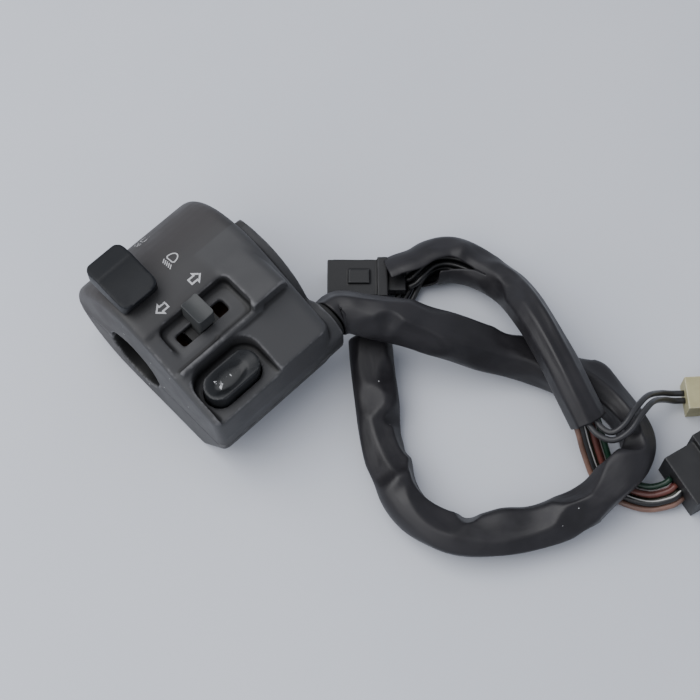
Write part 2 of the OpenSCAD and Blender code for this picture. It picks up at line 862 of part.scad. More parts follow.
// Spring steel strip that stands on the base beside the slider
module turn_detent_leaf() color([0.65, 0.67, 0.7]) {
    y = turn_y - slider_w / 2 - gap - 0.4;
    translate([turn_x, y, turn_base_top + 2]) cube([slider_l + 6, 0.4, 4], center = true);
}

module horn_button() color([0.16, 0.16, 0.16]) {
    difference() {
        union() {
            translate([horn_x, horn_y, horn_flange_low])
                linear_extrude(horn_top - horn_flange_low) oblong(horn_l, horn_w);
            translate([horn_x, horn_y, horn_flange_low])
                linear_extrude(horn_flange_t) rounded_rect(horn_l + 2 * horn_lip, horn_w + 2 * horn_lip, 3);
            rod_z(horn_x, horn_y, horn_post_low, horn_flange_low + 1, horn_post_r);
        }
        rod_x(horn_x - far, horn_x + far, horn_y, horn_top + 13.4, 14);
    }
}

module horn_spring() color([0.7, 0.7, 0.7]) {
    translate([horn_x, horn_y, horn_base_top])
        coil(horn_coil_r, horn_wire_r, horn_flange_low - horn_base_top, 5);
}

module horn_contact() color([0.8, 0.5, 0.25]) {
    rod_z(horn_x, horn_y, horn_post_low - contact_t, horn_post_low, horn_post_r + 0.2);
}

function horn_rivet_spots() = [
    [horn_x, horn_y, horn_rivet_top], [horn_x + 6.7, horn_y + 2.3, horn_base_top]
];

module horn_base() color([0.35, 0.25, 0.18]) {
    difference() {
        block([horn_x - 9.8, horn_y - 5.6, horn_base_low], [horn_x + 9.8, horn_screw_y + 2, horn_base_top]);
        for (x = horn_screw_x)
            rod_z(x, horn_screw_y, 0, far, base_screw_r + touch);
        for (spot = horn_rivet_spots())
            rod_z(spot[0], spot[1], 0, far, 1);
    }
}

module horn_base_screws() color([0.65, 0.65, 0.65]) {
    for (x = horn_screw_x)
        base_screw(x, horn_screw_y, horn_base_low);
}

module horn_terminals() color([0.8, 0.65, 0.3]) {
    for (spot = horn_rivet_spots())
        rivet(spot, horn_base_low, spot[2]);
}

// One inner route with its end at the grommet
function inner_route(i) = concat(inner_routes[i], [inner_end + [0, 0, inner_rise[i]]]);

module inner_wires() color([0.2, 0.35, 0.25]) {
    for (i = [0:len(inner_routes) - 1])
        for (aside = inner_spread)
            tube(beside(inner_route(i), aside), inner_d / 2, 8);
}

module main_sleeve() color([0.09, 0.09, 0.09]) {
    tube(sleeve_points(main_route, main_sleeve_d, main_sleeve_d), main_sleeve_d / 2, 12);
}

module branch_sleeve() color([0.09, 0.09, 0.09]) {
    tube(sleeve_points(branch_route, branch_sleeve_d, main_sleeve_d), branch_sleeve_d / 2, 12);
}

// A group of wires side by side along one route
module wires(route, spread) {
    for (aside = spread)
        tube(beside(wire_points(route), aside), wire_d / 2, 8);
}

module loom_wires() color([0.15, 0.15, 0.15]) wires(loom_route, loom_spread);

module side_wires() color([0.12, 0.12, 0.12]) wires(side_route, side_spread);

module small_wires() color([0.1, 0.1, 0.1]) wires(pair_route, pair_spread);

module main_wires() color([0.4, 0.2, 0.1])
    for (rise = tail_rise)
        translate([0, 0, rise]) wires(tail_route, tail_spread);

// Puts a connector with its wire end at a place and its length along the turned X
module placed(place, turn) {
    translate(place) rotate([0, 0, turn]) children();
}

// Rows of terminal cavities in the mating end of a connector, which is at x = end
module cavities(end, columns, rows, pitch, row_pitch, middle_z) {
    for (i = [0:columns - 1])
        for (j = [0:rows - 1])
            translate([
                end - cavity_depth,
                (i - (columns - 1) / 2) * pitch - cavity_w / 2,
                middle_z + (j - (rows - 1) / 2) * row_pitch - cavity_h / 2
            ])
                cube([cavity_depth + 1, cavity_w, cavity_h]);
}

// Flat blades that stand in the cavities
module blades(end, columns, rows, pitch, row_pitch, middle_z) {
    for (i = [0:columns - 1])
        for (j = [0:rows - 1])
            translate([
                end - cavity_depth,
                (i - (columns - 1) / 2) * pitch - pin_w / 2,
                middle_z + (j - (rows - 1) / 2) * row_pitch - pin_t / 2
            ])
                cube([cavity_depth - 2, pin_w, pin_t]);
}

// The side connector's mating end faces away from its wires, along its own -X
// Behind it a narrow block guides the wires into the open sleeve
module side_connector() color([0.08, 0.08, 0.08])
    placed(side_place, side_turn) {
        block([-side_tail - 1, -side_tail_w / 2, side_tail_low], [0, side_tail_w / 2, side_h - 1.2]);
        translate([-side_tail, 0, 0])
            difference() {
                union() {
                    block([-side_l, -side_w / 2, 0], [-3.4, side_w / 2, side_h]);
                    block([-3.4, -side_w / 2 - 0.6, 0], [0, side_w / 2 + 0.6, side_h + 0.8]);
                    block([-13, -2.5, side_h], [-6, 2.5, side_h + 0.8]);
                }
                mirror([1, 0, 0]) cavities(side_l, 3, 2, side_w / 3.25, side_h / 2.4, side_h / 2);
            }
    }

module side_terminals() color([0.8, 0.7, 0.35])
    placed(side_place, side_turn)
        translate([-side_tail, 0, 0])
            mirror([1, 0, 0]) blades(side_l, 3, 2, side_w / 3.25, side_h / 2.4, side_h / 2);

module small_connector() color([0.85, 0.82, 0.7])
    placed(small_place, small_turn)
        difference() {
            union() {
                block([0, -small_w / 2, 0], [small_l, small_w / 2, small_h]);
                block([6, -1.8, small_h], [16, 1.8, small_h + 1.4]);
            }
            cavities(small_l, 2, 1, small_w / 2.2, 1, small_h / 2);
        }

module small_terminals() color([0.8, 0.7, 0.35])
    placed(small_place, small_turn) blades(small_l, 2, 1, small_w / 2.2, 1, small_h / 2);

module main_connector() color([0.1, 0.1, 0.1])
    placed(main_place, main_turn)
        difference() {
            union() {
                block([0, -main_w / 2, 0], [11, main_w / 2, main_h]);
                block([11, -main_w / 2 - 1.5, 0], [main_l, main_w / 2 + 1.5, main_h + 2]);
                block([14, -3, main_h + 2], [26, 3, main_h + 3.4]);
            }
            cavities(main_l, 3, 2, main_w / 3, main_h / 2.4, main_h / 2);
        }

module main_terminals() color([0.8, 0.7, 0.35])
    placed(main_place, main_turn) blades(main_l, 3, 2, main_w / 3, main_h / 2.4, main_h / 2);

front_housing();
rear_housing();
housing_screws();
cable_grommet();
dimmer_rocker();
dimmer_pivot_pin();
dimmer_plunger();
dimmer_spring();
dimmer_base();
dimmer_base_screws();
dimmer_carriage();
dimmer_contact();
dimmer_terminals();
turn_knob();
turn_spring();
turn_slider();
turn_contact();
turn_base();
turn_base_screws();
turn_terminals();
turn_detent_leaf();
horn_button();
horn_spring();
horn_contact();
horn_base();
horn_base_screws();
horn_terminals();
inner_wires();
main_sleeve();
branch_sleeve();
loom_wires();
side_connector();
side_terminals();
side_wires();
small_connector();
small_terminals();
small_wires();
main_connector();
main_terminals();
main_wires();
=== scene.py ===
# %% [markdown]
# # Dressing a handlebar switch cluster
# A switch cluster clamps round a motorcycle's handlebar. Its two moulded halves carry a dimmer rocker,
# a sliding turn signal knob and a horn button, and a loom in vinyl sleeves runs from it to three
# connectors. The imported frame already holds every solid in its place, so this lesson only dresses them:
# it sets the picture up, lays the loom, softens the moulded shapes and gives each piece its finish.

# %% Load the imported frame
import math
import random
from collections import namedtuple

import bmesh
import bpy
from mathutils import Matrix, Vector
from mathutils.bvhtree import BVHTree
from mathutils.geometry import interpolate_bezier


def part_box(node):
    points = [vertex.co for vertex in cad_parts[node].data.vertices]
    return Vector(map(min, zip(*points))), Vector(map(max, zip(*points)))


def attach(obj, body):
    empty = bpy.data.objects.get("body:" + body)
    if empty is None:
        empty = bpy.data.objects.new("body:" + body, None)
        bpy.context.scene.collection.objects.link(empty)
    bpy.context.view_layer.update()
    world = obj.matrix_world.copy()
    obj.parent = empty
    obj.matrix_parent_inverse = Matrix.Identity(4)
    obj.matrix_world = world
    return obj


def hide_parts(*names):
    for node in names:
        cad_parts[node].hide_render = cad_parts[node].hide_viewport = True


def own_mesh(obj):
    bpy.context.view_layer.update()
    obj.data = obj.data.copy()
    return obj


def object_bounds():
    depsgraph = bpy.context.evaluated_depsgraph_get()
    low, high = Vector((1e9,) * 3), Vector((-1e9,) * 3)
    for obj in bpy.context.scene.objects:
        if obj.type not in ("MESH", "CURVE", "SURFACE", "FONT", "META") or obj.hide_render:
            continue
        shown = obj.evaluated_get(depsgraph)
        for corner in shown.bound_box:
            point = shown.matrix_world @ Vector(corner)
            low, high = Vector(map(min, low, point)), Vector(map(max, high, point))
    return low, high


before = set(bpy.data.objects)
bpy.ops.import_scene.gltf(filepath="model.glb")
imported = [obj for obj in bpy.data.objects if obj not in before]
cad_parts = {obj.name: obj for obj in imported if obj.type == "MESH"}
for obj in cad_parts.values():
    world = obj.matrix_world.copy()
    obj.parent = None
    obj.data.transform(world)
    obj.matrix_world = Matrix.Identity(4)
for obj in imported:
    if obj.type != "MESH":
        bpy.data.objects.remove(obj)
cad_box = [list(corner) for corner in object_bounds()]
scene = bpy.context.scene
mm = 0.001
print("CAD box in mm:", [[round(value / mm, 1) for value in corner] for corner in cad_box])

# %% [markdown]
# ## Camera
# The photograph looks down on the table from the outboard end of the bar, rather steeply. The camera
# could be set by eye, but known lengths, such as the bore's width, fix its distance and its lens, so
# it is placed by two points in millimetres: where it stands and what it looks at.

# %% Camera
camera_place = Vector((-113.98, -189.59, 473.41)) * mm
camera_aim = Vector((27.16, -43.43, -5.25)) * mm
camera_data = bpy.data.cameras.new("photo_camera")
camera_data.sensor_width = 36
camera_data.lens = 82.9
camera = bpy.data.objects.new("photo_camera", camera_data)
camera.location = camera_place
camera.rotation_euler = (camera_aim - camera_place).to_track_quat("-Z", "Y").to_euler()
scene.collection.objects.link(camera)
scene.camera = camera
print("camera at", round((camera_aim - camera_place).length / mm), "mm from its aim")

# %% [markdown]
# ## Small tools for node trees
# Every finish below is a node tree. Written out in full, each tree would hide what matters in it, so
# short helpers add the nodes that come up again and again: a noise pattern, a soft threshold, a sum or
# product, a mix of two colours, a value carried by the mesh and a point's place.

# %% Node helpers
def noise(tree, vector, scale, detail, roughness=0.55):
    """A noise pattern from 0 to 1 on the given coordinates."""
    node = tree.nodes.new("ShaderNodeTexNoise")
    node.inputs["Scale"].default_value = scale
    node.inputs["Detail"].default_value = detail
    node.inputs["Roughness"].default_value = roughness
    tree.links.new(vector, node.inputs["Vector"])
    return node.outputs[0]


def fade(tree, value, low, high, start=0.0, end=1.0):
    """A value that goes smoothly from start to end while the input goes from low to high."""
    node = tree.nodes.new("ShaderNodeMapRange")
    node.interpolation_type = "SMOOTHSTEP"
    node.inputs["From Min"].default_value = low
    node.inputs["From Max"].default_value = high
    node.inputs["To Min"].default_value = start
    node.inputs["To Max"].default_value = end
    tree.links.new(value, node.inputs["Value"])
    return node.outputs["Result"]


def combine(tree, operation, first, second):
    """Add, multiply or compare two values, either of which may be a plain number."""
    node = tree.nodes.new("ShaderNodeMath")
    node.operation = operation
    for socket, value in zip(node.inputs, (first, second)):
        if isinstance(value, (int, float)):
            socket.default_value = value
        else:
            tree.links.new(value, socket)
    return node.outputs[0]


def blend_colours(tree, mask, first, second):
    """The first colour where the mask is 0, the second where it is 1."""
    node = tree.nodes.new("ShaderNodeMix")
    node.data_type = "RGBA"
    tree.links.new(mask, node.inputs[0])
    colour_sockets = [socket for socket in node.inputs if socket.type == "RGBA"]
    for socket, value in zip(colour_sockets, (first, second)):
        if isinstance(value, tuple):
            socket.default_value = (*value, 1.0)
        else:
            tree.links.new(value, socket)
    return next(socket for socket in node.outputs if socket.type == "RGBA")


def attribute(tree, name):
    """A value that each point of a mesh carries."""
    node = tree.nodes.new("ShaderNodeAttribute")
    node.attribute_name = name
    return node


def object_place(tree):
    """The place of each point in its piece's own coordinates, in metres."""
    return tree.nodes.new("ShaderNodeTexCoord").outputs["Object"]


# %% [markdown]
# ## Effects that many finishes share
# Plastics, vinyl and metals share a few effects: a fine grain, uneven patches, rubbed edges and specks of
# dust. Each of these could be built again in every material. A shader group is built once and placed in a
# material with its own values, and it only puts out masks and heights, so the shaders stay in plain view.

# %% Shader groups
def shader_group(name, inputs, outputs):
    """An empty group with named number sockets, its input node and its output node."""
    group = bpy.data.node_groups.new(name, "ShaderNodeTree")
    for label, value in inputs.items():
        socket = group.interface.new_socket(label, in_out="INPUT", socket_type="NodeSocketFloat")
        socket.default_value = value
    for label in outputs:
        group.interface.new_socket(label, in_out="OUTPUT", socket_type="NodeSocketFloat")
    return group, group.nodes.new("NodeGroupInput"), group.nodes.new("NodeGroupOutput")


def place_group(tree, group, **values):
    """Place a group in a material, with some of its inputs changed."""
    node = tree.nodes.new("ShaderNodeGroup")
    node.node_tree = group
    for label, value in values.items():
        node.inputs[label.replace("_", " ")].default_value = value
    return node


def grain_group():
    """Fine moulded grain, and broad patches of handling and weather."""
    scales = {"Grain Scale": 2400.0, "Patch Scale": 70.0}
    group, start, end = shader_group("grain", scales, ["Height", "Patch"])
    place = object_place(group)
    fine = noise(group, place, scale=1.0, detail=2.0)
    group.links.new(start.outputs["Grain Scale"], fine.node.inputs["Scale"])
    broad = noise(group, place, scale=1.0, detail=5.0, roughness=0.6)
    group.links.new(start.outputs["Patch Scale"], broad.node.inputs["Scale"])
    group.links.new(fine, end.inputs["Height"])
    group.links.new(fade(group, broad, 0.3, 0.7), end.inputs["Patch"])
    return group


def wear_group():
    """Rubbed outer edges and darker inner corners, from the edge attribute that softened pieces carry."""
    group, start, end = shader_group("edge_wear", {"Reach": 0.5}, ["Rubbed", "Corner Darkening"])
    edge = attribute(group, "edge")
    place = object_place(group)
    break_up = noise(group, place, scale=330.0, detail=5.0, roughness=0.65)
    uneven = combine(group, "ADD", edge.outputs["Fac"], combine(group, "SUBTRACT", break_up, 0.5))
    rubbed = combine(group, "ADD", uneven, combine(group, "SUBTRACT", start.outputs["Reach"], 0.5))
    group.links.new(fade(group, rubbed, 0.3, 0.75), end.inputs["Rubbed"])
    group.links.new(fade(group, edge.outputs["Fac"], -0.05, -0.4), end.inputs["Corner Darkening"])
    return group


def speck_group(cells_per_metre=420.0, largest_speck=0.16):
    """Single specks of dust and nicks, thinly spread; the largest one is a share of its cell."""
    group, start, end = shader_group("specks", {"Amount": 0.1}, ["Specks"])
    place = object_place(group)
    cells = group.nodes.new("ShaderNodeTexVoronoi")
    cells.inputs["Scale"].default_value = cells_per_metre
    group.links.new(place, cells.inputs["Vector"])
    split = group.nodes.new("ShaderNodeSeparateColor")
    group.links.new(cells.outputs["Color"], split.inputs["Color"])
    chosen = combine(group, "LESS_THAN", split.outputs["Red"], start.outputs["Amount"])
    size = combine(group, "MULTIPLY", split.outputs["Green"], largest_speck)
    small = combine(group, "LESS_THAN", cells.outputs["Distance"], size)
    group.links.new(combine(group, "MULTIPLY", chosen, small), end.inputs["Specks"])
    return group


def vinyl_group():
    """Pulled streaks and uneven patches on the straightened coordinates that each tube carries."""
    group, start, end = shader_group("pulled_vinyl", {"Streak Scale": 170.0}, ["Height", "Patch"])
    straight = attribute(group, "straight")
    stretch = group.nodes.new("ShaderNodeMapping")
    stretch.inputs["Scale"].default_value = (0.2, 1.0, 1.0)
    group.links.new(straight.outputs["Vector"], stretch.inputs["Vector"])
    streaks = noise(group, stretch.outputs["Vector"], scale=1.0, detail=3.0, roughness=0.5)
    group.links.new(start.outputs["Streak Scale"], streaks.node.inputs["Scale"])
    patches = noise(group, straight.outputs["Vector"], scale=95.0, detail=4.0, roughness=0.6)
    group.links.new(streaks, end.inputs["Height"])
    group.links.new(fade(group, patches, 0.32, 0.68), end.inputs["Patch"])
    return group


grain = grain_group()
edge_wear = wear_group()
specks = speck_group()
pulled_vinyl = vinyl_group()
print("shader groups:", [group.name for group in bpy.data.node_groups])

# %% [markdown]
# ## Finishes
# The housing is weathered charcoal plastic, the rocker and the horn are a smoother black, the sleeves are
# soft vinyl, the wires are coloured vinyl, and inside are phenolic, nylon, brass and steel. One function
# per family builds the tree, and the values at the call set the piece apart. Colours that vary go through
# mixes, and a value that is the same all over is set on the shader itself.

# %% Moulded plastics
dust_colour = (0.45, 0.45, 0.44)
inner_corner_share = 0.45


def new_finish(name):
    """A material, its tree and its shader."""
    material = bpy.data.materials.new(name)
    material.use_nodes = True
    tree = material.node_tree
    return material, tree, tree.nodes["Principled BSDF"]


def add_bump(tree, shader, height, depth):
    """Raise the surface by a height pattern, with the depth in metres."""
    bump = tree.nodes.new("ShaderNodeBump")
    bump.inputs["Strength"].default_value = 1.0
    bump.inputs["Distance"].default_value = depth
    tree.links.new(height, bump.inputs["Height"])
    tree.links.new(bump.outputs["Normal"], shader.inputs["Normal"])


def add_roughness(tree, shader, surface, rough):
    """Roughness that goes from the first value to the second across the patches."""
    value = fade(tree, surface.outputs["Patch"], 0.0, 1.0, *rough)
    tree.links.new(value, shader.inputs["Roughness"])


def plastic(name, colour, patch_colour, rubbed_colour, rough=(0.45, 0.6), reach=0.3, dust=0.0,
            grain_depth=0.00002, gloss=0.4, shade=None):
    """Moulded plastic with patches, rubbed edges, darker inner corners and a few specks."""
    material, tree, shader = new_finish(name)
    shader.inputs["Specular IOR Level"].default_value = gloss
    surface = place_group(tree, grain)
    wear = place_group(tree, edge_wear, Reach=reach)
    dots = place_group(tree, specks, Amount=dust)
    patched = blend_colours(tree, surface.outputs["Patch"], colour, patch_colour)
    shaded = shade(tree, patched) if shade else patched
    # The inner corners take a darker copy of the colour.
    inner_corner_colour = tuple(value * inner_corner_share for value in colour)
    corner_darkened = blend_colours(tree, wear.outputs["Corner Darkening"], shaded, inner_corner_colour)
    rubbed = blend_colours(tree, wear.outputs["Rubbed"], corner_darkened, rubbed_colour)
    speckled = blend_colours(tree, dots.outputs["Specks"], rubbed, dust_colour)
    tree.links.new(speckled, shader.inputs["Base Color"])
    add_roughness(tree, shader, surface, rough)
    add_bump(tree, shader, surface.outputs["Height"], grain_depth)
    return material


def housing_shade(tree, colour):
    """Brownish sun tint on the barrel, painted light on the flat panels and painted shade in the bore."""
    place = object_place(tree)
    split = tree.nodes.new("ShaderNodeSeparateXYZ")
    tree.links.new(place, split.inputs["Vector"])
    sunned = fade(tree, split.outputs["Y"], -2 * mm, 14 * mm)
    warm = blend_colours(tree, sunned, colour, (0.037, 0.034, 0.034))
    # Painted light: the raised flat and the lower deck are painted a lighter grey, as if they caught more
    # light.
    inboard = combine(tree, "MULTIPLY", fade(tree, split.outputs["Y"], 2.4 * mm, 1.8 * mm),
                      fade(tree, split.outputs["X"], 3 * mm, 7 * mm))
    lower = fade(tree, split.outputs["Y"], -8 * mm, -13 * mm)
    panel_painted_light = combine(tree, "MULTIPLY", combine(tree, "MAXIMUM", inboard, lower),
                     fade(tree, split.outputs["Z"], 1 * mm, 5 * mm))
    with_panel_light = blend_colours(tree, panel_painted_light, warm, (0.044, 0.044, 0.046))
    # Painted shade: the inside of the bore is painted nearly black.
    across = tree.nodes.new("ShaderNodeCombineXYZ")
    tree.links.new(split.outputs["Y"], across.inputs["Y"])
    tree.links.new(split.outputs["Z"], across.inputs["Z"])
    reach = tree.nodes.new("ShaderNodeVectorMath")
    reach.operation = "LENGTH"
    tree.links.new(across.outputs["Vector"], reach.inputs[0])
    bore_painted_shade = fade(tree, reach.outputs["Value"], 11.7 * mm, 11.3 * mm)
    return blend_colours(tree, bore_painted_shade, with_panel_light, (0.004, 0.004, 0.004))


charcoal = plastic("weathered_charcoal", (0.029, 0.029, 0.030), (0.041, 0.040, 0.041), (0.105, 0.104, 0.108),
                   rough=(0.5, 0.62), reach=0.42, dust=0.02, shade=housing_shade)
rocker_black = plastic("rocker_black", (0.005, 0.006, 0.008), (0.007, 0.008, 0.010), (0.030, 0.032, 0.037),
                       rough=(0.4, 0.52), dust=0.015, grain_depth=0.000008, gloss=0.24)
knob_grey = plastic("knob_grey", (0.030, 0.032, 0.033), (0.040, 0.042, 0.042), (0.085, 0.088, 0.088),
                    rough=(0.45, 0.58), reach=0.35, dust=0.03)
horn_black = plastic("horn_black", (0.009, 0.010, 0.011), (0.016, 0.017, 0.019), (0.06, 0.06, 0.062),
                     rough=(0.24, 0.36), reach=0.24, dust=0.02, grain_depth=0.000006, gloss=0.27)
connector_black = plastic("connector_black", (0.011, 0.011, 0.012), (0.018, 0.018, 0.019),
                          (0.05, 0.05, 0.052), rough=(0.45, 0.58), reach=0.35, dust=0.04)
aged_white = plastic("aged_white_nylon", (0.46, 0.43, 0.25), (0.34, 0.31, 0.17), (0.58, 0.56, 0.42),
                     rough=(0.4, 0.55), reach=0.4, grain_depth=0.000008)
black_nylon = plastic("black_nylon", (0.010, 0.010, 0.010), (0.016, 0.016, 0.016), (0.04, 0.04, 0.04),
                      grain_depth=0.000006)
slider_nylon = plastic("slider_nylon", (0.62, 0.60, 0.52), (0.54, 0.51, 0.42), (0.7, 0.69, 0.64),
                       rough=(0.4, 0.5), grain_depth=0.000006)
phenolic = plastic("brown_phenolic", (0.10, 0.048, 0.022), (0.075, 0.036, 0.018), (0.16, 0.09, 0.05),
                   reach=0.4)
grommet_rubber = plastic("grommet_rubber", (0.013, 0.013, 0.013), (0.022, 0.022, 0.022), (0.05, 0.05, 0.05),
                         rough=(0.6, 0.75), dust=0.04)
print("plastics:", len(bpy.data.materials))

# %% [markdown]
# ### Vinyl
# A sleeve is a thin vinyl tube: nearly black, with a soft sheen that breaks into long streaks where the
# tube was pulled. A wire is a small vinyl tube in its circuit's colour, sometimes with a stripe. Both read
# the straightened coordinates that their tubes carry, so that streaks and stripes follow every bend.

# %% Vinyl finishes
grime_share = 0.5


def sleeve_vinyl(name, colour, patch_colour):
    """Black vinyl tubing with streaks along it and a few white specks."""
    material, tree, shader = new_finish(name)
    surface = place_group(tree, pulled_vinyl)
    dots = place_group(tree, specks, Amount=0.05)
    patched = blend_colours(tree, surface.outputs["Patch"], colour, patch_colour)
    speckled = blend_colours(tree, dots.outputs["Specks"], patched, (0.4, 0.4, 0.4))
    tree.links.new(speckled, shader.inputs["Base Color"])
    add_roughness(tree, shader, surface, rough=(0.4, 0.54))
    shader.inputs["Specular IOR Level"].default_value = 0.4
    add_bump(tree, shader, surface.outputs["Height"], depth=0.0003)
    return material


def wire_vinyl(name, colour, stripe=None, stripe_lean=0.5, stripe_rise=0.87):
    """Coloured insulation with grimy patches, and a stripe along its upper side where a colour is given."""
    material, tree, shader = new_finish(name)
    surface = place_group(tree, pulled_vinyl, Streak_Scale=900.0)
    grimy = tuple(value * grime_share for value in colour)
    shown = blend_colours(tree, surface.outputs["Patch"], colour, grimy)
    if stripe:
        straight = attribute(tree, "straight")
        across = tree.nodes.new("ShaderNodeSeparateXYZ")
        tree.links.new(straight.outputs["Vector"], across.inputs["Vector"])
        leaning = combine(tree, "MULTIPLY", across.outputs["Y"], stripe_lean)
        upright = combine(tree, "MULTIPLY", across.outputs["Z"], stripe_rise)
        side = fade(tree, combine(tree, "ADD", leaning, upright), 0.90 * mm, 0.95 * mm)
        shown = blend_colours(tree, side, shown, stripe)
    tree.links.new(shown, shader.inputs["Base Color"])
    add_roughness(tree, shader, surface, rough=(0.3, 0.45))
    add_bump(tree, shader, surface.outputs["Height"], depth=0.0001)
    return material


black_sleeve = sleeve_vinyl("black_sleeve", (0.0095, 0.0088, 0.0105), (0.016, 0.015, 0.0175))
wire_colours = {
    "orange_brown": (0.22, 0.125, 0.095),
    "black": (0.014, 0.014, 0.015),
    "olive": (0.055, 0.055, 0.036),
    "red_brown": (0.15, 0.05, 0.04),
    "dark_grey": (0.03, 0.03, 0.033),
    "green": (0.012, 0.045, 0.025),
}
wire_finish = {name: wire_vinyl("wire_" + name, colour) for name, colour in wire_colours.items()}
wire_finish["black_white"] = wire_vinyl("wire_black_white", wire_colours["black"], (0.6, 0.6, 0.58))
wire_finish["red_white"] = wire_vinyl("wire_red_white", (0.19, 0.025, 0.03), (0.6, 0.58, 0.55))
print("wire finishes:", sorted(wire_finish))

# %% [markdown]
# ### Metals
# Screws, pins and springs are steel, the plunger and the terminals are brass and the moving contacts are
# copper. A bare metal shader looks like chrome, so a patch of tarnish darkens it and roughens it unevenly.

# %% Metal finishes
def metal(name, colour, tarnish, rough=(0.25, 0.5)):
    """Metal with patches of tarnish and a fine grain."""
    material, tree, shader = new_finish(name)
    shader.inputs["Metallic"].default_value = 1.0
    surface = place_group(tree, grain, Grain_Scale=3800.0, Patch_Scale=420.0)
    tone = blend_colours(tree, surface.outputs["Patch"], colour, tarnish)
    tree.links.new(tone, shader.inputs["Base Color"])
    add_roughness(tree, shader, surface, rough)
    add_bump(tree, shader, surface.outputs["Height"], depth=0.000004)
    return material


plated_steel = metal("plated_steel", (0.3, 0.29, 0.26), (0.19, 0.17, 0.14), rough=(0.35, 0.55))
spring_steel = metal("spring_steel", (0.5, 0.5, 0.5), (0.28, 0.27, 0.26), rough=(0.2, 0.4))
brass = metal("brass", (0.70, 0.50, 0.22), (0.36, 0.24, 0.11))
copper = metal("copper", (0.72, 0.36, 0.2), (0.35, 0.19, 0.11))
print("finishes in all:", len(bpy.data.materials))

# %% [markdown]
# ## Floor and light
# The cluster lies on a pale, slightly bluish table top under soft light from the left, and its shadow falls
# softly to the right. A large panel gives that soft shadow, a smaller one at the lower left lifts the dark
# plastic, and the world adds an even glow. The floor is stage, so it isn't part of the object.

# %% Floor
table_z = cad_box[0][2]


def table_finish():
    """Pale laminate with faint patches."""
    material, tree, shader = new_finish("pale_table")
    surface = place_group(tree, grain, Grain_Scale=900.0, Patch_Scale=9.0)
    tone = blend_colours(tree, surface.outputs["Patch"], (0.585, 0.61, 0.665), (0.61, 0.63, 0.68))
    tree.links.new(tone, shader.inputs["Base Color"])
    add_roughness(tree, shader, surface, rough=(0.5, 0.56))
    return material


floor_mesh = bpy.data.meshes.new("table_top")
floor_bm = bmesh.new()
bmesh.ops.create_grid(floor_bm, x_segments=4, y_segments=4, size=2.0)
bmesh.ops.translate(floor_bm, verts=floor_bm.verts, vec=(0.0, 0.0, table_z))
floor_bm.to_mesh(floor_mesh)
floor_bm.free()
floor_mesh.materials.append(table_finish())
floor = bpy.data.objects.new("table_top", floor_mesh)
scene.collection.objects.link(floor)
print("table at", round(table_z / mm, 2), "mm")

# %% Light
def soft_panel(name, place, size, power):
    """A square light panel that faces the middle of the picture."""
    data = bpy.data.lights.new(name, "AREA")
    data.size = size
    data.energy = power
    panel = bpy.data.objects.new(name, data)
    panel.location = place
    panel.rotation_euler = (camera_aim - Vector(place)).to_track_quat("-Z", "Y").to_euler()
    scene.collection.objects.link(panel)


soft_panel("window_side", place=(-0.3, 0.5, 1.1), size=1.2, power=15.0)
soft_panel("room_side", place=(-0.85, 0.0, 0.6), size=0.8, power=4.0)
world = bpy.data.worlds.new("pale_room")
world.use_nodes = True
glow = world.node_tree.nodes["Background"]
glow.inputs["Color"].default_value = (0.86, 0.9, 1.0, 1.0)
glow.inputs["Strength"].default_value = 0.62
scene.world = world
print("lights:", len(bpy.data.lights))

# %% [markdown]
# ## Routes of the loom
# The loom leaves the grommet in a main sleeve that makes one loop on the table and dives under its own
# first stretch. A curve object could carry such a tube, but it can't be creased or slit, so each tube is
# a mesh. A route is a short list of points from the cable exit. The helper draws a smooth curve through
# them and walks along it in even steps.

# %% Routes
cable_exit = Vector((28.0, -33.5, 3.0))
main_d = 14.4
branch_d = 12.6
wire_d = 2.0
table = table_z / mm
points_per_span = 24


def sleeve_route(points, diameter):
    """Points from the exit in mm; the third value is the lift off the table in main sleeve diameters."""
    return [
        Vector((cable_exit.x + x, cable_exit.y + y, table + diameter / 2 + lift * main_d))
        for x, y, lift in points
    ]


def wire_route(points, aside=0.0, rise=0.0):
    """Points from the exit in mm, moved aside and up; the third value is the height over the table."""
    middle = [
        Vector((cable_exit.x + x, cable_exit.y + y, table + wire_d / 2 + height + rise))
        for x, y, height in points
    ]
    moved = []
    for i, point in enumerate(middle):
        ahead = middle[min(i + 1, len(middle) - 1)] - middle[max(i - 1, 0)]
        left = Vector((-ahead.y, ahead.x, 0.0)).normalized()
        moved.append(point + left * aside)
    return moved


def walk(points, step):
    """A smooth curve through the points, cut into even steps."""
    ends = [2 * points[0] - points[1], *points, 2 * points[-1] - points[-2]]
    fine = []
    for before, here, there, after in zip(ends, ends[1:], ends[2:], ends[3:]):
        out_handle = here + (there - before) / 6
        in_handle = there - (after - here) / 6
        fine.extend(interpolate_bezier(here, out_handle, in_handle, there, points_per_span)[:-1])
    fine.append(points[-1])
    reach = [0.0]
    for first, second in zip(fine, fine[1:]):
        reach.append(reach[-1] + (second - first).length)
    count = max(2, round(reach[-1] / step))
    stations = []
    k = 0
    for i in range(count + 1):
        wanted = reach[-1] * i / count
        while k < len(fine) - 2 and reach[k + 1] < wanted:
            k += 1
        share = (wanted - reach[k]) / (reach[k + 1] - reach[k])
        stations.append(fine[k].lerp(fine[k + 1], share))
    return stations, reach[-1]


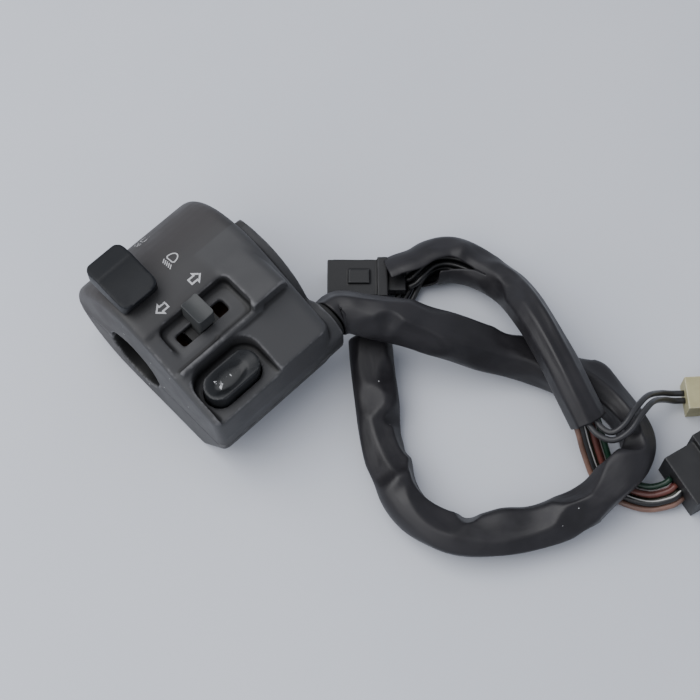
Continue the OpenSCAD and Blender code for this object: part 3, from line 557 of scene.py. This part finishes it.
main_points = sleeve_route([
    (0, 0, 0.993), (4, 0, 0.993), (8, -4.2, 1.04), (15, -15, 1.06), (23, -27, 0.76), (31, -38, 0.36),
    (38, -48, 0.12), (44, -60, 0), (48, -73, 0), (47, -86, 0.04), (40.5, -95.5, 0.34), (29.5, -98.8, 0.42),
    (15.5, -97.4, 0.22), (1, -92.8, 0), (-11, -85.5, 0), (-19, -75.5, 0), (-20.5, -61, 0), (-17.5, -46.5, 0),
    (-10, -33, 0), (-1, -21, 0), (8, -10.5, 0),
], main_d)
branch_points = sleeve_route([
    (29.2, 1.6, -0.08), (32.6, 0.1, -0.04), (35.4, -1.5, 0), (38.4, -2.7, 0), (43.4, -4.2, 0), (49, -8.5, 0),
    (52.3, -17.5, 0.1), (52, -31, 0.5), (47, -45.5, 1), (42, -59.5, 1.08), (38, -71, 0.95),
    (35.5, -80.5, 0.66),
], branch_d)
print("route points:", len(main_points), "for the main sleeve,", len(branch_points), "for the branch")

# %% [markdown]
# ## Rolling a tube
# A vinyl sleeve starts life as a flat sheet or a straight tube. Here each one is a flat grid that is rolled
# round its route: one direction of the grid runs along the tube and the other runs round it. Where the
# grid's two long sides meet they are merged, and where a sleeve is slit they are left apart. Each point
# also remembers its place on the straight tube, so a finish can follow the tube instead of the room.

# %% Rolled tubes
sleeve_step = 0.7
sleeve_wall = 0.6


def rolled_tube(points, step, sides, radius_at, lips_at=None):
    """A tube round a route in mm. radius_at gives the radius at a distance along and an angle in degrees.

    lips_at gives the angles of the two lips of a slit at a distance along.
    """
    stations, length = walk(points, step)
    bm = bmesh.new()
    straight = bm.verts.layers.float_vector.new("straight")
    bmesh.ops.create_grid(bm, x_segments=len(stations) - 1, y_segments=sides, size=0.5)
    low = min(vert.co.x for vert in bm.verts)
    high = max(vert.co.x for vert in bm.verts)
    for vert in bm.verts:
        u = (vert.co.x - low) / (high - low)
        v = (vert.co.y - low) / (high - low)
        i = round(u * (len(stations) - 1))
        along = stations[min(i + 1, len(stations) - 1)] - stations[max(i - 1, 0)]
        side = Vector((0.0, 0.0, 1.0)).cross(along).normalized()
        up = along.cross(side).normalized()
        first_lip, second_lip = lips_at(u * length) if lips_at else (180.0, 180.0)
        angle = second_lip + v * (360.0 - (second_lip - first_lip))
        radius = radius_at(u * length, angle % 360.0)
        across = radius * math.cos(math.radians(angle))
        rise = radius * math.sin(math.radians(angle))
        spot = stations[i] + side * across + up * rise
        spot.z = max(spot.z, table)
        vert.co = spot * mm
        vert[straight] = Vector((u * length, across, rise)) * mm
    bmesh.ops.remove_doubles(bm, verts=bm.verts, dist=0.01 * mm)
    bm.normal_update()
    first_face = min(bm.faces, key=lambda face: (face.calc_center_median() - stations[0] * mm).length)
    outward = first_face.calc_center_median() - stations[0] * mm
    if first_face.normal.dot(outward) < 0:
        bmesh.ops.reverse_faces(bm, faces=bm.faces)
    return bm, [station * mm for station in stations], length * mm


def add_piece(name, bm, finish, body="housing"):
    """Turn a bmesh into an object at the origin that rides on a body."""
    mesh = bpy.data.meshes.new(name)
    bm.normal_update()
    bm.to_mesh(mesh)
    bm.free()
    mesh.shade_smooth()
    mesh.materials.append(finish)
    piece = bpy.data.objects.new(name, mesh)
    scene.collection.objects.link(piece)
    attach(piece, body)
    return piece


def add_sleeve(node, points, sides, radius_at, lips_at=None):
    """A vinyl sleeve that stands for a node: a rolled tube with a thin wall on its inside."""
    bm, path, length = rolled_tube(points, sleeve_step, sides, radius_at, lips_at)
    sleeve = add_piece(node + "_skin", bm, black_sleeve)
    wall = sleeve.modifiers.new("wall", "SOLIDIFY")
    wall.thickness = sleeve_wall * mm
    wall.offset = -1.0
    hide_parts(node)
    print(node, "is", round(length / mm), "mm long")


# %% [markdown]
# ## Main sleeve
# The main sleeve is slack on its wires, so it isn't a perfect tube: it lies in flats with creases between
# them, it buckles where it leaves the grommet and it is pinched at the tight end of the loop. A cloth
# simulation could find such creases, but flats placed where the photograph shows them give the same look and
# come out the same at each run. A flat has a place along the tube, a half length, an angle round it, a
# distance from the middle and a tilt. A bulge has a place, a length, an angle, a spread round the tube and a
# height. Small flats from a seeded generator fill in between. Lengths are in mm and angles in degrees.

# %% Flats and bulges
Flat = namedtuple("Flat", "place half_length angle distance tilt", defaults=(0.0,))
Bulge = namedtuple("Bulge", "place length angle spread height")


def bell(distance, width):
    """1 in the middle, fading to 0 over the width."""
    return math.exp(-(distance / width) ** 2)


def turn_between(first, second):
    """The angle from one direction to another, from -180 to 180 degrees."""
    return (first - second + 180.0) % 360.0 - 180.0


def bulged(bulges, along, angle):
    """How far a list of bulges pushes the wall out, in mm."""
    return sum(
        bulge.height * bell(along - bulge.place, bulge.length)
        * bell(turn_between(angle, bulge.angle), bulge.spread)
        for bulge in bulges
    )


def pressed(flats, along, angle, radius, soft=0.6, least_facing=0.2):
    """The radius that is left after flats are pressed into a tube, with soft creases between them."""
    left = radius
    for flat in flats:
        past = along - flat.place
        reach = past / flat.half_length
        facing = math.cos(math.radians(angle - flat.angle))
        if abs(reach) < 1.0 and facing > least_facing:
            rise = (radius + soft - flat.distance) * reach ** 2
            wall = (flat.distance + flat.tilt * past + rise) / facing
            overlap = max(soft - abs(left - wall), 0.0) / soft
            left = min(left, wall) - overlap ** 2 * soft / 4
    return left


def small_flats(seed, length, radius, spacing):
    """Shallow flats spread along a tube."""
    chance = random.Random(seed)
    return [
        Flat(place=i * spacing, half_length=chance.uniform(5.0, 13.0), angle=chance.uniform(0.0, 360.0),
             distance=radius * chance.uniform(0.8, 0.93), tilt=chance.uniform(-0.09, 0.09))
        for i in range(round(length / spacing))
    ]


# %% Main sleeve
main_flats = [
    Flat(13, 17, 35, 4.8), Flat(46, 40, 78, 4.9), Flat(26, 17, 165, 4.6), Flat(21, 5, 150, 4.2),
    Flat(60, 22, 150, 5.6), Flat(104, 24, 50, 5.4), Flat(105, 24, 118, 3.9), Flat(108, 27, 178, 2.6),
    Flat(120, 4.5, 130, 2.6), Flat(133, 10, 85, 5, 0.05), Flat(140, 12, 140, 4.6, -0.05),
    Flat(147, 11, 60, 5.4), Flat(168, 30, 45, 5.7), Flat(171, 26, 95, 5.3), Flat(186, 8, 150, 5.2),
    Flat(174, 26, 345, 5.2), Flat(203, 16, 165, 3.3), Flat(238, 9, 75, 5.9, 0.03),
    Flat(246, 8, 120, 5.8, -0.04), Flat(196, 15, 112, 4.4, 0.04), Flat(224, 13.5, 100, 4.1),
    Flat(222, 14, 55, 5), Flat(226, 12, 155, 4.7), Flat(231, 4, 140, 4), Flat(252, 14, 90, 5.4),
] + small_flats(seed=5, length=261.0, radius=main_d / 2, spacing=5.5)
main_bulges = [
    Bulge(91, 5, 22, 24, 2), Bulge(126, 3, 120, 30, 0.8), Bulge(170, 9, 155, 42, 2.4),
    Bulge(203, 14, 350, 60, 1.8), Bulge(197, 6, 140, 35, 0.5), Bulge(210.5, 2.2, 75, 55, 0.9),
    Bulge(240, 6, 150, 30, 0.8), Bulge(22, 16, 205, 42, 1.8), Bulge(52, 16, 205, 40, 0.8),
]
ripple_height = 0.08
ripple_length = 2.9
ripple_turns = 3


def main_radius(along, angle):
    """Radius of the slack main sleeve in mm."""
    ripple = ripple_height * math.sin(along / ripple_length - ripple_turns * math.radians(angle))
    return pressed(main_flats, along, angle, main_d / 2) + ripple + bulged(main_bulges, along, angle)


add_sleeve("main_sleeve", main_points, sides=72, radius_at=main_radius)

# %% [markdown]
# ## Branch sleeve
# The branch sleeve is a narrower tube that takes the wires on from the main sleeve's end. Its first stretch
# is slit and gapes open like an awning over the side connector's wires, then it arches over the loop in long
# facets and ends in a plain cut. The same rolling makes it: the two lips of the slit start wide apart, with
# the lower one's corner torn off, and meet further on. Lengths are in mm and angles in degrees.

# %% Branch sleeve
slit_length = 34.0
slit_middle = 125.0
slit_half_gap = 13.0
gape_place = 21.0
gape_length = 8.0
gape_half_gap = 9.0
torn_length = 16.0
torn_angle = 165.0
mouth_spread = 0.12
mouth_length = 9.0
belly_spread = 0.25
belly_place = 19.0
belly_length = 12.0
flare_height = 1.6
flare_lean = 15.0
flare_width = 28.0
branch_flats = [
    Flat(78, 62, 38, 5.2), Flat(80, 60, 84, 5.1), Flat(78, 58, 128, 5.2), Flat(84, 56, 172, 5.2),
    Flat(46, 10, 150, 4.7), Flat(53, 10, 108, 4.9), Flat(19, 5, 72, 6), Flat(33, 8, 62, 5.2),
] + small_flats(seed=11, length=102.0, radius=branch_d / 2, spacing=8.0)
branch_bulges = [Bulge(25.5, 2.4, 82, 26, 1), Bulge(62, 12, 60, 12, 0.5), Bulge(84, 16, 105, 10, 0.4)]


def branch_radius(along, angle):
    """Radius of the branch sleeve in mm, spread and flared at the upper lip where it is slit."""
    open_part = max(0.0, 1.0 - along / slit_length)
    belly = belly_spread * bell(along - belly_place, belly_length)
    spread = 1.0 + mouth_spread * bell(along, mouth_length) + belly
    flare = flare_height * open_part * bell(turn_between(angle, slit_middle - flare_lean), flare_width)
    wall = pressed(branch_flats, along, angle, branch_d / 2)
    return wall * spread + flare + bulged(branch_bulges, along, angle)


def branch_lips(along):
    """Angles of the upper and the lower lip of the slit in degrees."""
    open_part = max(0.0, 1.0 - along / slit_length)
    gape = gape_half_gap * bell(along - gape_place, gape_length)
    half_gap = slit_half_gap * open_part ** 0.5 + gape
    torn_corner = torn_angle * max(0.0, 1.0 - along / torn_length)
    return slit_middle - half_gap, slit_middle + half_gap + torn_corner


add_sleeve("branch_sleeve", branch_points, sides=64, radius_at=branch_radius, lips_at=branch_lips)

# %% [markdown]
# ## Softening the moulded shapes
# The solids have hard edges, but a moulded part has none: every edge is rounded by its mould and by years
# of hands. A bevel on each edge would do it, but it breaks where many edges meet. Remeshing a merged copy
# into even small squares and smoothing it a few times rounds every edge alike. Then each point measures how
# sharply the surface bends there, and keeps it as the edge attribute, which the wear effect reads.

# %% Softened copies
def even_copy(node, voxel):
    """A bmesh of a node's solid, remeshed into even squares of the given size in mm."""
    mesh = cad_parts[node].data.copy()
    bm = bmesh.new()
    bm.from_mesh(mesh)
    bmesh.ops.remove_doubles(bm, verts=bm.verts, dist=0.002 * mm)
    bm.to_mesh(mesh)
    bm.free()
    holder = bpy.data.objects.new("holder", mesh)
    scene.collection.objects.link(holder)
    remesh = holder.modifiers.new("even", "REMESH")
    remesh.mode = "VOXEL"
    remesh.voxel_size = voxel * mm
    evaluated = holder.evaluated_get(bpy.context.evaluated_depsgraph_get())
    even = bpy.data.meshes.new_from_object(evaluated)
    bpy.data.objects.remove(holder)
    bm = bmesh.new()
    bm.from_mesh(even)
    bpy.data.meshes.remove(even)
    bpy.data.meshes.remove(mesh)
    return bm


def smooth(bm, rounds):
    """Round the edges a little more with each round."""
    for _ in range(rounds):
        bmesh.ops.smooth_vert(bm, verts=bm.verts, factor=0.5,
                              use_axis_x=True, use_axis_y=True, use_axis_z=True)


def mark_edges(bm, sharp_radians=0.3, rounds=2):
    """Keep how far the surface bends at each point: 1 on outer edges, -1 in inner corners."""
    edge = bm.verts.layers.float.new("edge")
    for vert in bm.verts:
        links = vert.link_edges
        bend = sum(link.calc_face_angle_signed(0.0) for link in links) / len(links)
        vert[edge] = max(-1.0, min(1.0, bend / sharp_radians))
    for _ in range(rounds):
        means = [
            sum(link.other_vert(vert)[edge] for link in vert.link_edges) / len(vert.link_edges)
            for vert in bm.verts
        ]
        for vert, mean in zip(bm.verts, means):
            vert[edge] = mean


def press_hollow(bm, place, half_length, half_width, depth, least_upright=0.5):
    """Press an oval hollow into a shape's top, with its middle at an (x, y) place; all in mm."""
    for vert in bm.verts:
        along = (vert.co.x / mm - place[0]) / half_length
        across = (vert.co.y / mm - place[1]) / half_width
        inside = max(0.0, 1.0 - along ** 2 - across ** 2)
        if vert.normal.z > least_upright:
            vert.co.z -= depth * mm * min(1.0, 2 * inside)


def soft_piece(node, finish, body, voxel, rounds, hollow=None):
    """A softened copy that stands for a node, with a hollow in its top where one is given."""
    bm = even_copy(node, voxel)
    if hollow:
        press_hollow(bm, **hollow)
    smooth(bm, rounds)
    mark_edges(bm)
    print(node, "becomes", len(bm.faces), "faces")
    piece = add_piece(node + "_skin", bm, finish, body)
    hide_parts(node)
    return piece


# %% [markdown]
# ## Connectors
# Two black connectors and one small one of nylon that has gone yellow end the loom. They are moulded too,
# with crisper edges than the housing, so they take fewer rounds of smoothing on smaller squares.

# %% Connectors
connectors = {
    name: soft_piece(name + "_connector", finish, "housing", voxel=voxel, rounds=2)
    for name, finish, voxel, slot in (
        ("side", connector_black, 0.25, "black_nylon"),
        ("main", connector_black, 0.3, "black_nylon"),
        ("small", aged_white, 0.22, "white_nylon"),
    )
}

# %% [markdown]
# ## Wires
# Fourteen single wires show between the sleeves and the connectors. Each is a small rolled tube of its own
# colour, and wires of one family lie side by side along one route. Inside a sleeve a wire runs on for a short
# way, so that the open end of the sleeve shows wires and no cut ends. Their ends are closed with a flat face.

# %% Wires
wire_step = 1.0
wire_sides = 12


def even_radius(along, angle):
    """A wire is equally thick all along and all round."""
    return wire_d / 2


def add_wires(family, node, route, asides, colours, rises=(0.0,)):
    """Wires that stand for a node, each with its place aside and its colour; the rises repeat in turn."""
    for i, (aside, colour) in enumerate(zip(asides, colours)):
        points = wire_route(route, aside, rises[i % len(rises)])
        bm, path, length = rolled_tube(points, wire_step, wire_sides, even_radius)
        bmesh.ops.holes_fill(bm, edges=[edge for edge in bm.edges if edge.is_boundary], sides=0)
        wire = add_piece(f"{family}_wire_{i}", bm, wire_finish[colour])
        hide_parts(node)
    print(family, "wires:", len(colours))


loom_route = [(1.5, -18, 6.2), (8, -10.5, 6.2), (10.2, -8, 5), (14, -7.2, 2.2), (20, -8.5, 0.4),
              (29, -5.8, 1.6), (36.5, -3.5, 3), (43, -4, 3.6), (48.5, -8.3, 4), (51.8, -17, 5)]
side_route = [(52.2, -24, 9.5), (51.8, -17, 8.4), (48.5, -8.3, 7.6), (43, -4, 7.4), (36.5, -3.6, 7),
              (34.2, -3.6, 6), (31.816, -2.668, 5)]
tail_route = [(37.9, -71.5, 16.2), (35.6, -79.8, 12.2), (33, -86.5, 6.3), (30.8, -94, 0.8),
              (31.2, -101.5, 0.1), (34.6, -109, 1), (39.7, -112.9, 2.6), (43, -113.5, 3.4)]
pair_route = [(37.9, -71.5, 20.4), (35.6, -80.5, 17.4), (34.8, -85.5, 17), (36.3, -89.6, 17.6),
              (41, -90.9, 19), (47.5, -89.8, 19), (55, -88.9, 15), (61.5, -89.9, 7.5), (65.4, -91.9, 3.6),
              (68.5, -94.5, 3)]
tail_colours = ["orange_brown", "black_white", "olive", "red_brown", "red_white", "green"]
tail_pitch = 1.4
tail_half_width = 3.5
tail_asides = [tail_pitch * i - tail_half_width for i in range(len(tail_colours))]

add_wires("loom", "loom_wires", loom_route, (-2.3, 0.0, 2.3), ["black"] * 3)
add_wires("side", "side_wires", side_route, (-2.4, 0.0, 2.4), ["black"] * 3)
add_wires("tail", "main_wires", tail_route, tail_asides, tail_colours,
          rises=(0.0, 2.0))
add_wires("pair", "small_wires", pair_route, (-1.3, 1.3), ["dark_grey"] * 2)

# %% [markdown]
# ## Housing
# The front half faces the rider: a barrel over the bar, a slanted deck below it with the recess of the turn
# signal and the pocket of the horn, and a raised flat beside them. The rear half is a plain tray. Both are
# softened copies of their solids, and the front half, which shows most, gets the finer squares.

# %% Housing
front = soft_piece("front_housing", charcoal, "housing", voxel=0.5, rounds=6)
soft_piece("rear_housing", charcoal, "housing", voxel=0.6, rounds=4)

# %% [markdown]
# ## Controls
# The rocker cap is blue-black with rounded corners, a dished thumb face and a crease across it. The turn
# signal knob is lighter and has a saddle for the thumb. The horn button is a smooth oval with a hollow in its
# top. All three are small, so their squares are smaller too, and so are those of the cable's rubber grommet.

# %% Controls
soft_piece("dimmer_rocker", rocker_black, "rocker", voxel=0.25, rounds=12)
soft_piece("turn_knob", knob_grey, "knob", voxel=0.2, rounds=4)
thumb_hollow = {"place": (-13.5, -32.3), "half_length": 7.4, "half_width": 3.9, "depth": 0.7}
horn = soft_piece("horn_button", horn_black, "horn", voxel=0.25, rounds=8,
                  hollow=thumb_hollow)
soft_piece("cable_grommet", grommet_rubber, "housing", voxel=0.3, rounds=3)

# %% [markdown]
# ## Springs
# A coil under the horn button and one under the turn signal knob push them back. A spring is wire wound round
# a rod, so here a small circle is spun round the coil's axis and rises a little with each step. A pressed
# button shortens its spring, but this coil keeps its length; the travel only sets the pressed length printed.

# %% Springs
steps_per_turn = 16
coil_wire_sides = 10


def coil_spring(node, body, travel, turns, wire_radius):
    """A coil in a node's box; the travel and the wire's radius are in mm."""
    low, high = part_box(node)
    middle = (low + high) / 2
    height = (high.z - low.z) / mm
    steps = steps_per_turn * turns
    start = Vector((high.x - wire_radius * mm, middle.y, low.z + wire_radius * mm))
    lift = (height - 2 * wire_radius) * mm / steps
    upright = Matrix.Translation(start) @ Matrix.Rotation(math.radians(90), 4, "X")
    bm = bmesh.new()
    bmesh.ops.create_circle(bm, cap_ends=True, segments=coil_wire_sides, radius=wire_radius * mm,
                            matrix=upright)
    bmesh.ops.spin(bm, geom=bm.verts[:] + bm.edges[:] + bm.faces[:], cent=middle, axis=(0, 0, 1),
                   dvec=(0, 0, lift), angle=math.tau * turns, steps=steps, use_duplicate=False)
    bmesh.ops.recalc_face_normals(bm, faces=bm.faces)
    piece = add_piece(node + "_coil", bm, spring_steel, body)
    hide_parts(node)
    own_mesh(piece)
    print(f"{node}: {height:.1f} mm long, {height - travel:.1f} mm when pressed")


coil_spring("horn_spring", "housing", travel=2.2, turns=5, wire_radius=0.3)
coil_spring("turn_spring", "turn_slide_body", travel=1.5, turns=3, wire_radius=0.2)

# %% [markdown]
# ## Prints
# White signs are printed beside the controls: a dipped lamp by the rocker, an arrow at each end of the turn
# signal's way, a main beam lamp on the far side of the barrel and a horn on the button. They are standard
# signs. A picture texture could hold them, but a thin layer of mesh stays sharp at any distance. Each sign is
# drawn flat in millimetres, cut fine, and dropped straight down onto the softened skin. Wear eats holes.

# %% Print finish
def print_finish(name, kept, patch_share=0.7):
    """White ink that has worn away in spots; the more is kept, the fewer the holes."""
    material, tree, shader = new_finish(name)
    place = object_place(tree)
    patches = noise(tree, place, scale=520.0, detail=4.0, roughness=0.6)
    chips = noise(tree, place, scale=2600.0, detail=2.0, roughness=0.5)
    ink = combine(tree, "ADD", combine(tree, "MULTIPLY", patches, patch_share),
                  combine(tree, "MULTIPLY", chips, 1.0 - patch_share))
    bare_below = 0.66 - 0.33 * kept
    white_above = 0.70 - 0.33 * kept
    tree.links.new(fade(tree, ink, bare_below, white_above), shader.inputs["Alpha"])
    white = blend_colours(tree, chips, (0.40, 0.40, 0.41), (0.56, 0.56, 0.57))
    tree.links.new(white, shader.inputs["Base Color"])
    tree.links.new(fade(tree, patches, 0.3, 0.7, 0.5, 0.7), shader.inputs["Roughness"])
    return material


sign_ink = print_finish("sign_ink", kept=0.95)
worn_ink = print_finish("worn_ink", kept=0.52)
flaked_ink = print_finish("flaked_ink", kept=0.42)

# %% Print shapes
ink_lift = 0.03
drop_from = 100.0
line_cuts = 3
lamp_line = 0.4
ray_line = 0.34
rays = 5


def outline_sign(bm, corners, width):
    """Add a closed outline of the given width, drawn inside its corners."""
    face = bm.faces.new([bm.verts.new((x, y, 0.0)) for x, y in corners])
    bmesh.ops.recalc_face_normals(bm, faces=[face])
    bmesh.ops.inset_region(bm, faces=[face], thickness=width, use_boundary=True, use_even_offset=True)
    bmesh.ops.delete(bm, geom=[face], context="FACES_ONLY")


def stroke(bm, start, end, width):
    """Add a straight stroke between two points."""
    along = Vector((end[0] - start[0], end[1] - start[1]))
    side = Vector((-along.y, along.x)).normalized() * width / 2
    corners = [Vector(start) + side, Vector(start) - side, Vector(end) - side, Vector(end) + side]
    bm.faces.new([bm.verts.new((corner.x, corner.y, 0.0)) for corner in corners])


def arrow_corners(length, head, width, tail):
    """Corners of a block arrow that points along X, about its middle."""
    back = -length / 2
    neck = length / 2 - head
    tip = length / 2
    return [(back, -tail / 2), (neck, -tail / 2), (neck, -width / 2), (tip, 0.0), (neck, width / 2),
            (neck, tail / 2), (back, tail / 2)]


def lamp_corners(length, width, dome_share=0.72, back_share=0.68):
    """Corners of a lamp: domed toward +X by a share of its length, with a back of a share of its width."""
    turns = [math.radians(angle) for angle in range(-90, 91, 15)]
    dome = [
        (length * (math.cos(turn) * dome_share - dome_share / 2), width / 2 * math.sin(turn))
        for turn in turns
    ]
    back = width * back_share / 2
    return dome + [(-length / 2, back), (-length / 2, -back)]


def lamp_sign(near, far, top, pitch, drop):
    """A lamp with rays from x = near to x = far. The first starts at y = top, and each falls by the drop."""
    sign = bmesh.new()
    outline_sign(sign, lamp_corners(length=3.9, width=3.8), lamp_line)
    for i in range(rays):
        height = top - pitch * i
        stroke(sign, (near, height), (far, height - drop), ray_line)
    return sign


def lay_on(name, bm, skin, finish, body, place, turn=0.0, squeeze=1.0):
    """Turn a flat sign, squeeze it along Y, put it at its place and drop it onto a skin."""
    bmesh.ops.rotate(bm, verts=bm.verts, cent=(0, 0, 0), matrix=Matrix.Rotation(math.radians(turn), 3, "Z"))
    bmesh.ops.scale(bm, verts=bm.verts, vec=(1.0, squeeze, 1.0))
    bmesh.ops.translate(bm, verts=bm.verts, vec=(*place, 0.0))
    bmesh.ops.subdivide_edges(bm, edges=bm.edges, cuts=line_cuts, use_grid_fill=True)
    tree = BVHTree.FromObject(skin, bpy.context.evaluated_depsgraph_get())
    for vert in bm.verts:
        above = Vector((vert.co.x * mm, vert.co.y * mm, drop_from * mm))
        spot, normal, _, _ = tree.ray_cast(above, Vector((0.0, 0.0, -1.0)))
        vert.co = spot + normal * ink_lift * mm
    bmesh.ops.recalc_face_normals(bm, faces=bm.faces)
    if sum(face.normal.z for face in bm.faces) < 0:
        bmesh.ops.reverse_faces(bm, faces=bm.faces)
    sign = add_piece(name, bm, finish, body)


# %% Signs on the housing
arrow = arrow_corners(length=4.7, head=2.5, width=4.5, tail=2.3)
arrow_line = 0.55
for name, place, turn in (("right_arrow", (-0.4, -4.0), 0.0), ("left_arrow", (-14.7, -4.6), 180.0)):
    sign = bmesh.new()
    outline_sign(sign, arrow, arrow_line)
    lay_on(name, sign, front, sign_ink, "housing", place, turn)

dipped = lamp_sign(near=-2.55, far=-3.9, top=1.7, pitch=0.85, drop=1.0)
lay_on("dipped_beam", dipped, front, sign_ink, "housing", place=(0.0, 6.4))
main_beam = lamp_sign(near=-2.5, far=-4.2, top=1.6, pitch=0.8, drop=0.0)
lay_on("main_beam", main_beam, front, worn_ink, "housing", place=(0.4, 21.6), squeeze=0.66)

# %% Sign on the horn button
trumpet = bmesh.new()
for corners in (
    [(-2.6, -0.3), (0.2, -0.5), (2.2, -1.8), (2.2, 1.8), (0.2, 0.5), (-2.6, 0.3)],
    [(-3.2, -0.7), (-2.6, -0.7), (-2.6, 0.7), (-3.2, 0.7)],
):
    trumpet.faces.new([trumpet.verts.new((x, y, 0.0)) for x, y in corners])
lay_on("horn_sign", trumpet, horn, flaked_ink, "horn", place=(-15.2, -31.8), turn=180.0)

# %% [markdown]
# ## Finishes of the other nodes
# The remaining pieces keep their solids: the terminals, and the screws, contacts and bases inside. A node
# keeps its mesh and only gets a better material in its slot.

# %% Carried-over nodes
carried = (
    (brass, ("side_terminals", "small_terminals", "main_terminals", "dimmer_plunger", "dimmer_terminals",
             "turn_terminals", "horn_terminals")),
    (plated_steel, ("housing_screws", "dimmer_pivot_pin", "dimmer_base_screws", "turn_base_screws",
                    "horn_base_screws")),
    (spring_steel, ("dimmer_spring", "turn_detent_leaf")),
    (copper, ("dimmer_contact", "turn_contact", "horn_contact")),
    (phenolic, ("dimmer_base", "turn_base", "horn_base")),
    (slider_nylon, ("dimmer_carriage",)),
    (black_nylon, ("turn_slider",)),
    (wire_finish["black"], ("inner_wires",)),
)
for finish, nodes in carried:
    for node in nodes:
        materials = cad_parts[node].data.materials
        materials.clear()
        materials.append(finish)
print("carried-over nodes:", sum(len(nodes) for finish, nodes in carried))
